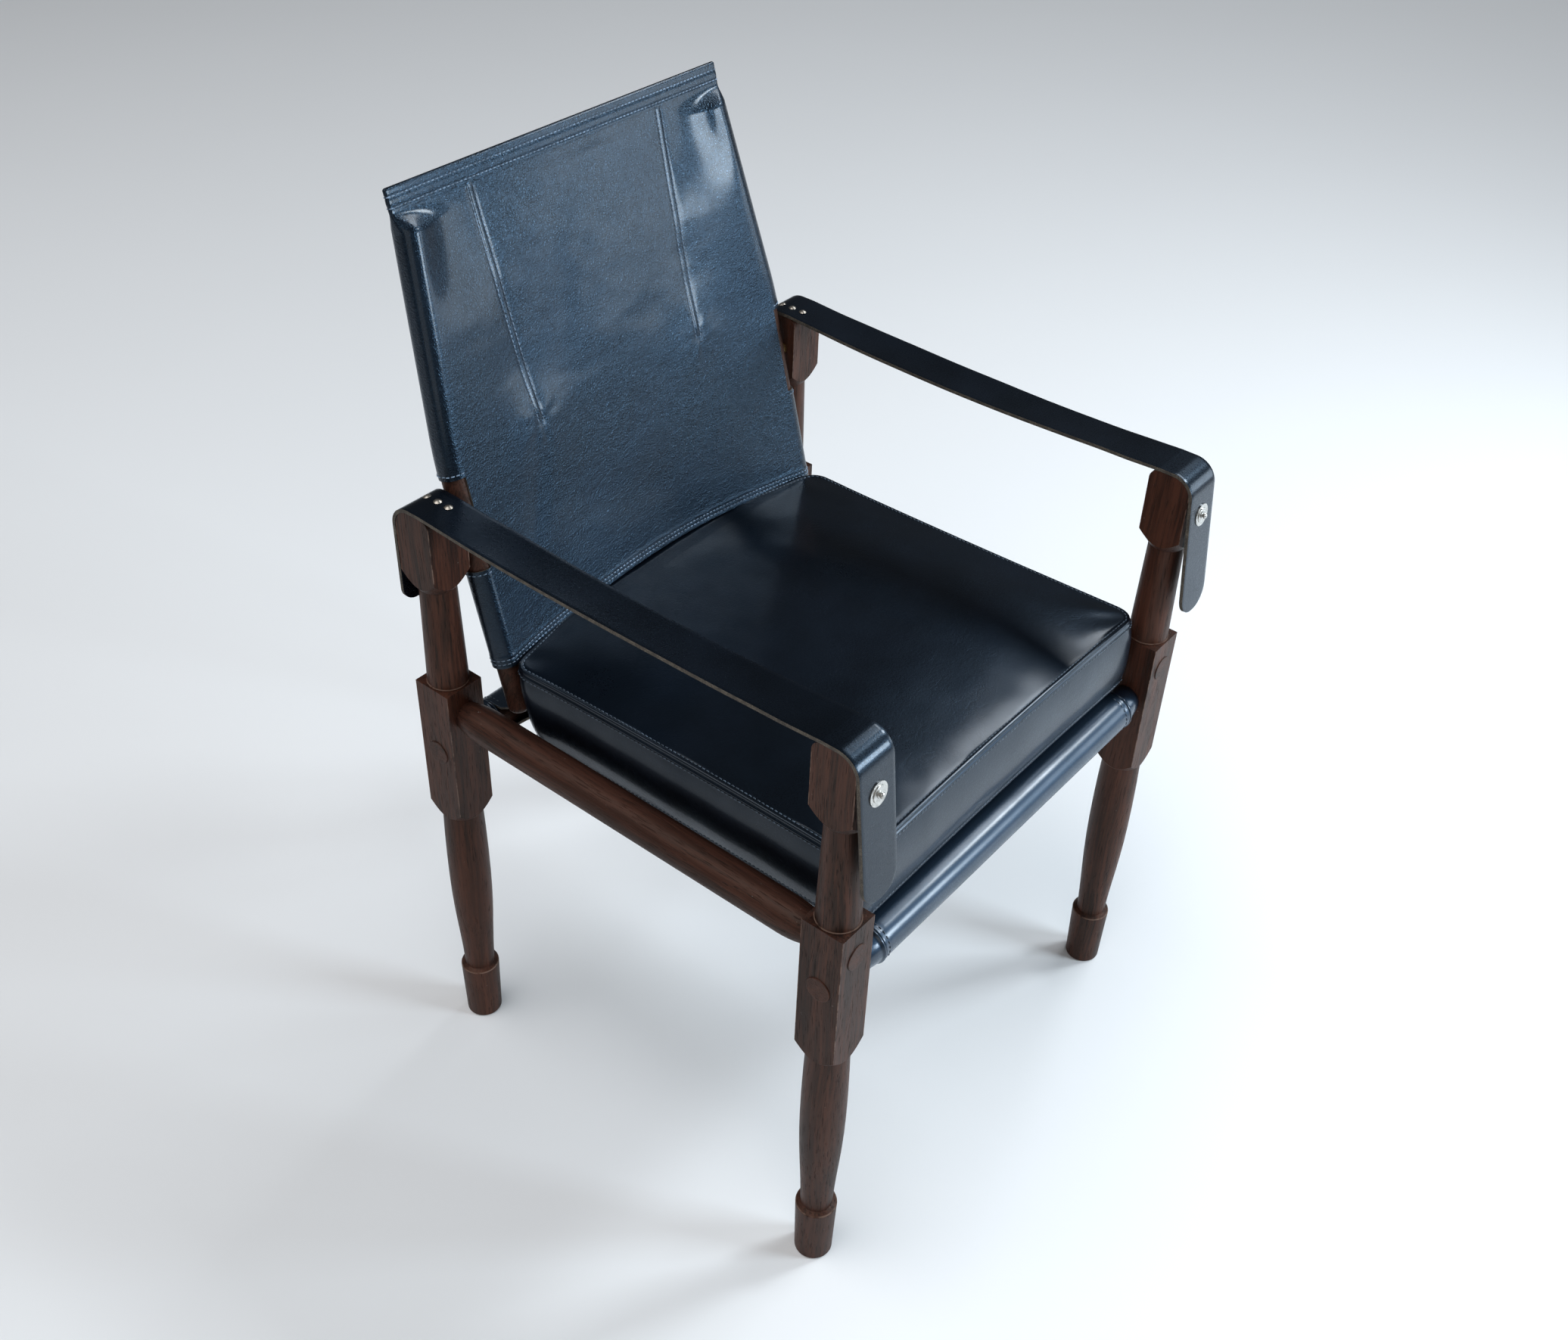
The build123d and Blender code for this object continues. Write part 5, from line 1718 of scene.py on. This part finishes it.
# Stage: the photo's width in pixels and the camera that was fitted to it
PHOTO_WIDTH = 2072.0
FOCAL_PIXELS = 2292.03
SENSOR = 36.0
CAMERA_PLACE = (-1.06061, -0.80376, 1.51192)
CAMERA_AZIMUTH = math.radians(-52.51)
CAMERA_ELEVATION = math.radians(38.9)
CAMERA_ROLL = math.radians(-2.49)
FLOOR_SIZE = 40
ROOM_COLOUR = (0.93, 0.96, 1.0, 1.0)

# Soft lamps by the setting that holds their power: name, place, target, width and height, and colour
LAMPS = {
    "window": ("window", (4.8, -0.3, 5.7), (0, 0, 0.5), (3.0, 1.1), (0.88, 0.94, 1.0)),
    "low": ("low_window", (0.95, -2.05, 1.05), (0.1, 0.25, 0.8), (0.7, 0.55), (0.76, 0.89, 1.0)),
    "high": ("high_window", (1.75, -1.15, 2.25), (0.05, 0.1, 0.7), (0.5, 0.4), (0.84, 0.93, 1.0)),
    "side": ("side_panel", (1.75, -1.4, 0.85), (0, 0.25, 0.75), (0.7, 0.7), (0.80, 0.91, 1.0)),
    "overhead": ("overhead", (-2.4, 1.0, 4.4), (-1.4, 0.8, 0), (4.5, 4.5), (0.97, 0.98, 1.0)),
    "fill": ("fill", (-1.9, -1.6, 1.5), (0, 0, 0.5), (1.6, 1.6), (1.0, 0.97, 0.93)),
}


def add_lamp(power, name, place, target, size, colour):
    """A large rectangular lamp that faces a target."""
    data = bpy.data.lights.new(name, "AREA")
    data.shape = "RECTANGLE"
    data.size, data.size_y = size
    data.energy, data.color = power, colour
    lamp = bpy.data.objects.new(name, data)
    lamp.location = place
    lamp.rotation_euler = (Vector(target) - Vector(place)).to_track_quat("-Z", "Y").to_euler()
    bpy.context.scene.collection.objects.link(lamp)


def add_floor(settings):
    """A pale paper floor."""
    clear_selection()
    bpy.ops.mesh.primitive_plane_add(size=FLOOR_SIZE)
    floor = bpy.context.object
    floor.name = "floor"
    colour = tuple(settings.floor)
    paper = Finish("floor_paper", Roughness=0.9, Specular_IOR_Level=0.1)
    mottle = paper.noise(paper.place(), 3.0, 2.0)
    paper.feed(Base_Color=paper.mix(mottle, colour, tinted(colour, 0.985)))
    floor.data.materials.append(paper.material)


def add_camera():
    """The camera that was fitted to the photo, turned round its own axis by its roll."""
    data = bpy.data.cameras.new("camera")
    data.sensor_width = SENSOR
    data.lens = FOCAL_PIXELS * SENSOR / PHOTO_WIDTH
    camera = bpy.data.objects.new("camera", data)
    level = math.cos(CAMERA_ELEVATION)
    back = Vector((
        math.sin(CAMERA_AZIMUTH) * level, -math.cos(CAMERA_AZIMUTH) * level, math.sin(CAMERA_ELEVATION),
    ))
    right = (-back).cross(Vector((0, 0, 1))).normalized()
    down = (-back).cross(right)
    turned_right = right * math.cos(CAMERA_ROLL) + down * math.sin(CAMERA_ROLL)
    turned_up = right * math.sin(CAMERA_ROLL) - down * math.cos(CAMERA_ROLL)
    axes = Matrix((turned_right, turned_up, back)).transposed().to_4x4()
    camera.matrix_world = Matrix.Translation(CAMERA_PLACE) @ axes
    bpy.context.scene.collection.objects.link(camera)
    bpy.context.scene.camera = camera


class CHAIR_OT_stage(bpy.types.Operator):
    """Stage: pale floor, soft window light, room light and the camera"""

    bl_idname = "chair.stage"
    bl_label = "Stage"

    def execute(self, context):
        settings = context.scene.chair_stage
        add_floor(settings)
        world = bpy.data.worlds.new("room")
        context.scene.world = world
        world.use_nodes = True
        background = world.node_tree.nodes["Background"]
        background.inputs["Color"].default_value = ROOM_COLOUR
        background.inputs["Strength"].default_value = settings.room
        for key, lamp in LAMPS.items():
            add_lamp(getattr(settings, key), *lamp)
        add_camera()
        context.scene.view_settings.view_transform = "Standard"
        return {"FINISHED"}


class CHAIR_PT_panel(bpy.types.Panel):
    """Lists the chair's settings and the operators that make its pieces."""

    bl_label = "Campaign chair"
    bl_idname = "CHAIR_PT_panel"
    bl_space_type = "VIEW_3D"
    bl_region_type = "UI"
    bl_category = "Chair"

    def draw(self, context):
        for holder, group_name in HOLDERS.items():
            box = self.layout.box()
            box.label(text=holder.__name__)
            for key in holder.__annotations__:
                box.prop(getattr(context.scene, group_name), key)
        for operator in OPERATORS:
            self.layout.operator(operator.bl_idname)


HOLDERS = {
    ChairLeather: "chair_leather",
    ChairWood: "chair_wood",
    ChairCushion: "chair_cushion",
    ChairBack: "chair_back",
    ChairSling: "chair_sling",
    ChairStraps: "chair_straps",
    ChairStage: "chair_stage",
}
OPERATORS = (
    CHAIR_OT_wood,
    CHAIR_OT_fittings,
    CHAIR_OT_sling,
    CHAIR_OT_roll_caps,
    CHAIR_OT_cushion,
    CHAIR_OT_arm_straps,
    CHAIR_OT_back_sleeve,
    CHAIR_OT_stage,
)


def register():
    for holder, key in HOLDERS.items():
        bpy.utils.register_class(holder)
        setattr(bpy.types.Scene, key, PointerProperty(type=holder))
    for kind in (*OPERATORS, CHAIR_PT_panel):
        bpy.utils.register_class(kind)


def unregister():
    for kind in (CHAIR_PT_panel, *reversed(OPERATORS)):
        bpy.utils.unregister_class(kind)
    for holder, key in reversed(HOLDERS.items()):
        delattr(bpy.types.Scene, key)
        bpy.utils.unregister_class(holder)


def main():
    """Make every piece and the stage."""
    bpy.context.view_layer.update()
    register()
    scene = bpy.context.scene
    # The sleeve's thread carries the painted glint; the cushion and sling get a darker copy, as painted shade
    scene["thread"] = waxed_thread("waxed_thread")
    scene["dark_thread"] = waxed_thread("dark_thread", shade=0.30)
    scene["raw_edge"] = raw_edge("leather_edge")
    for operator in OPERATORS:
        group, name = operator.bl_idname.split(".")
        getattr(getattr(bpy.ops, group), name)()


if __name__ == "__main__":
    main()
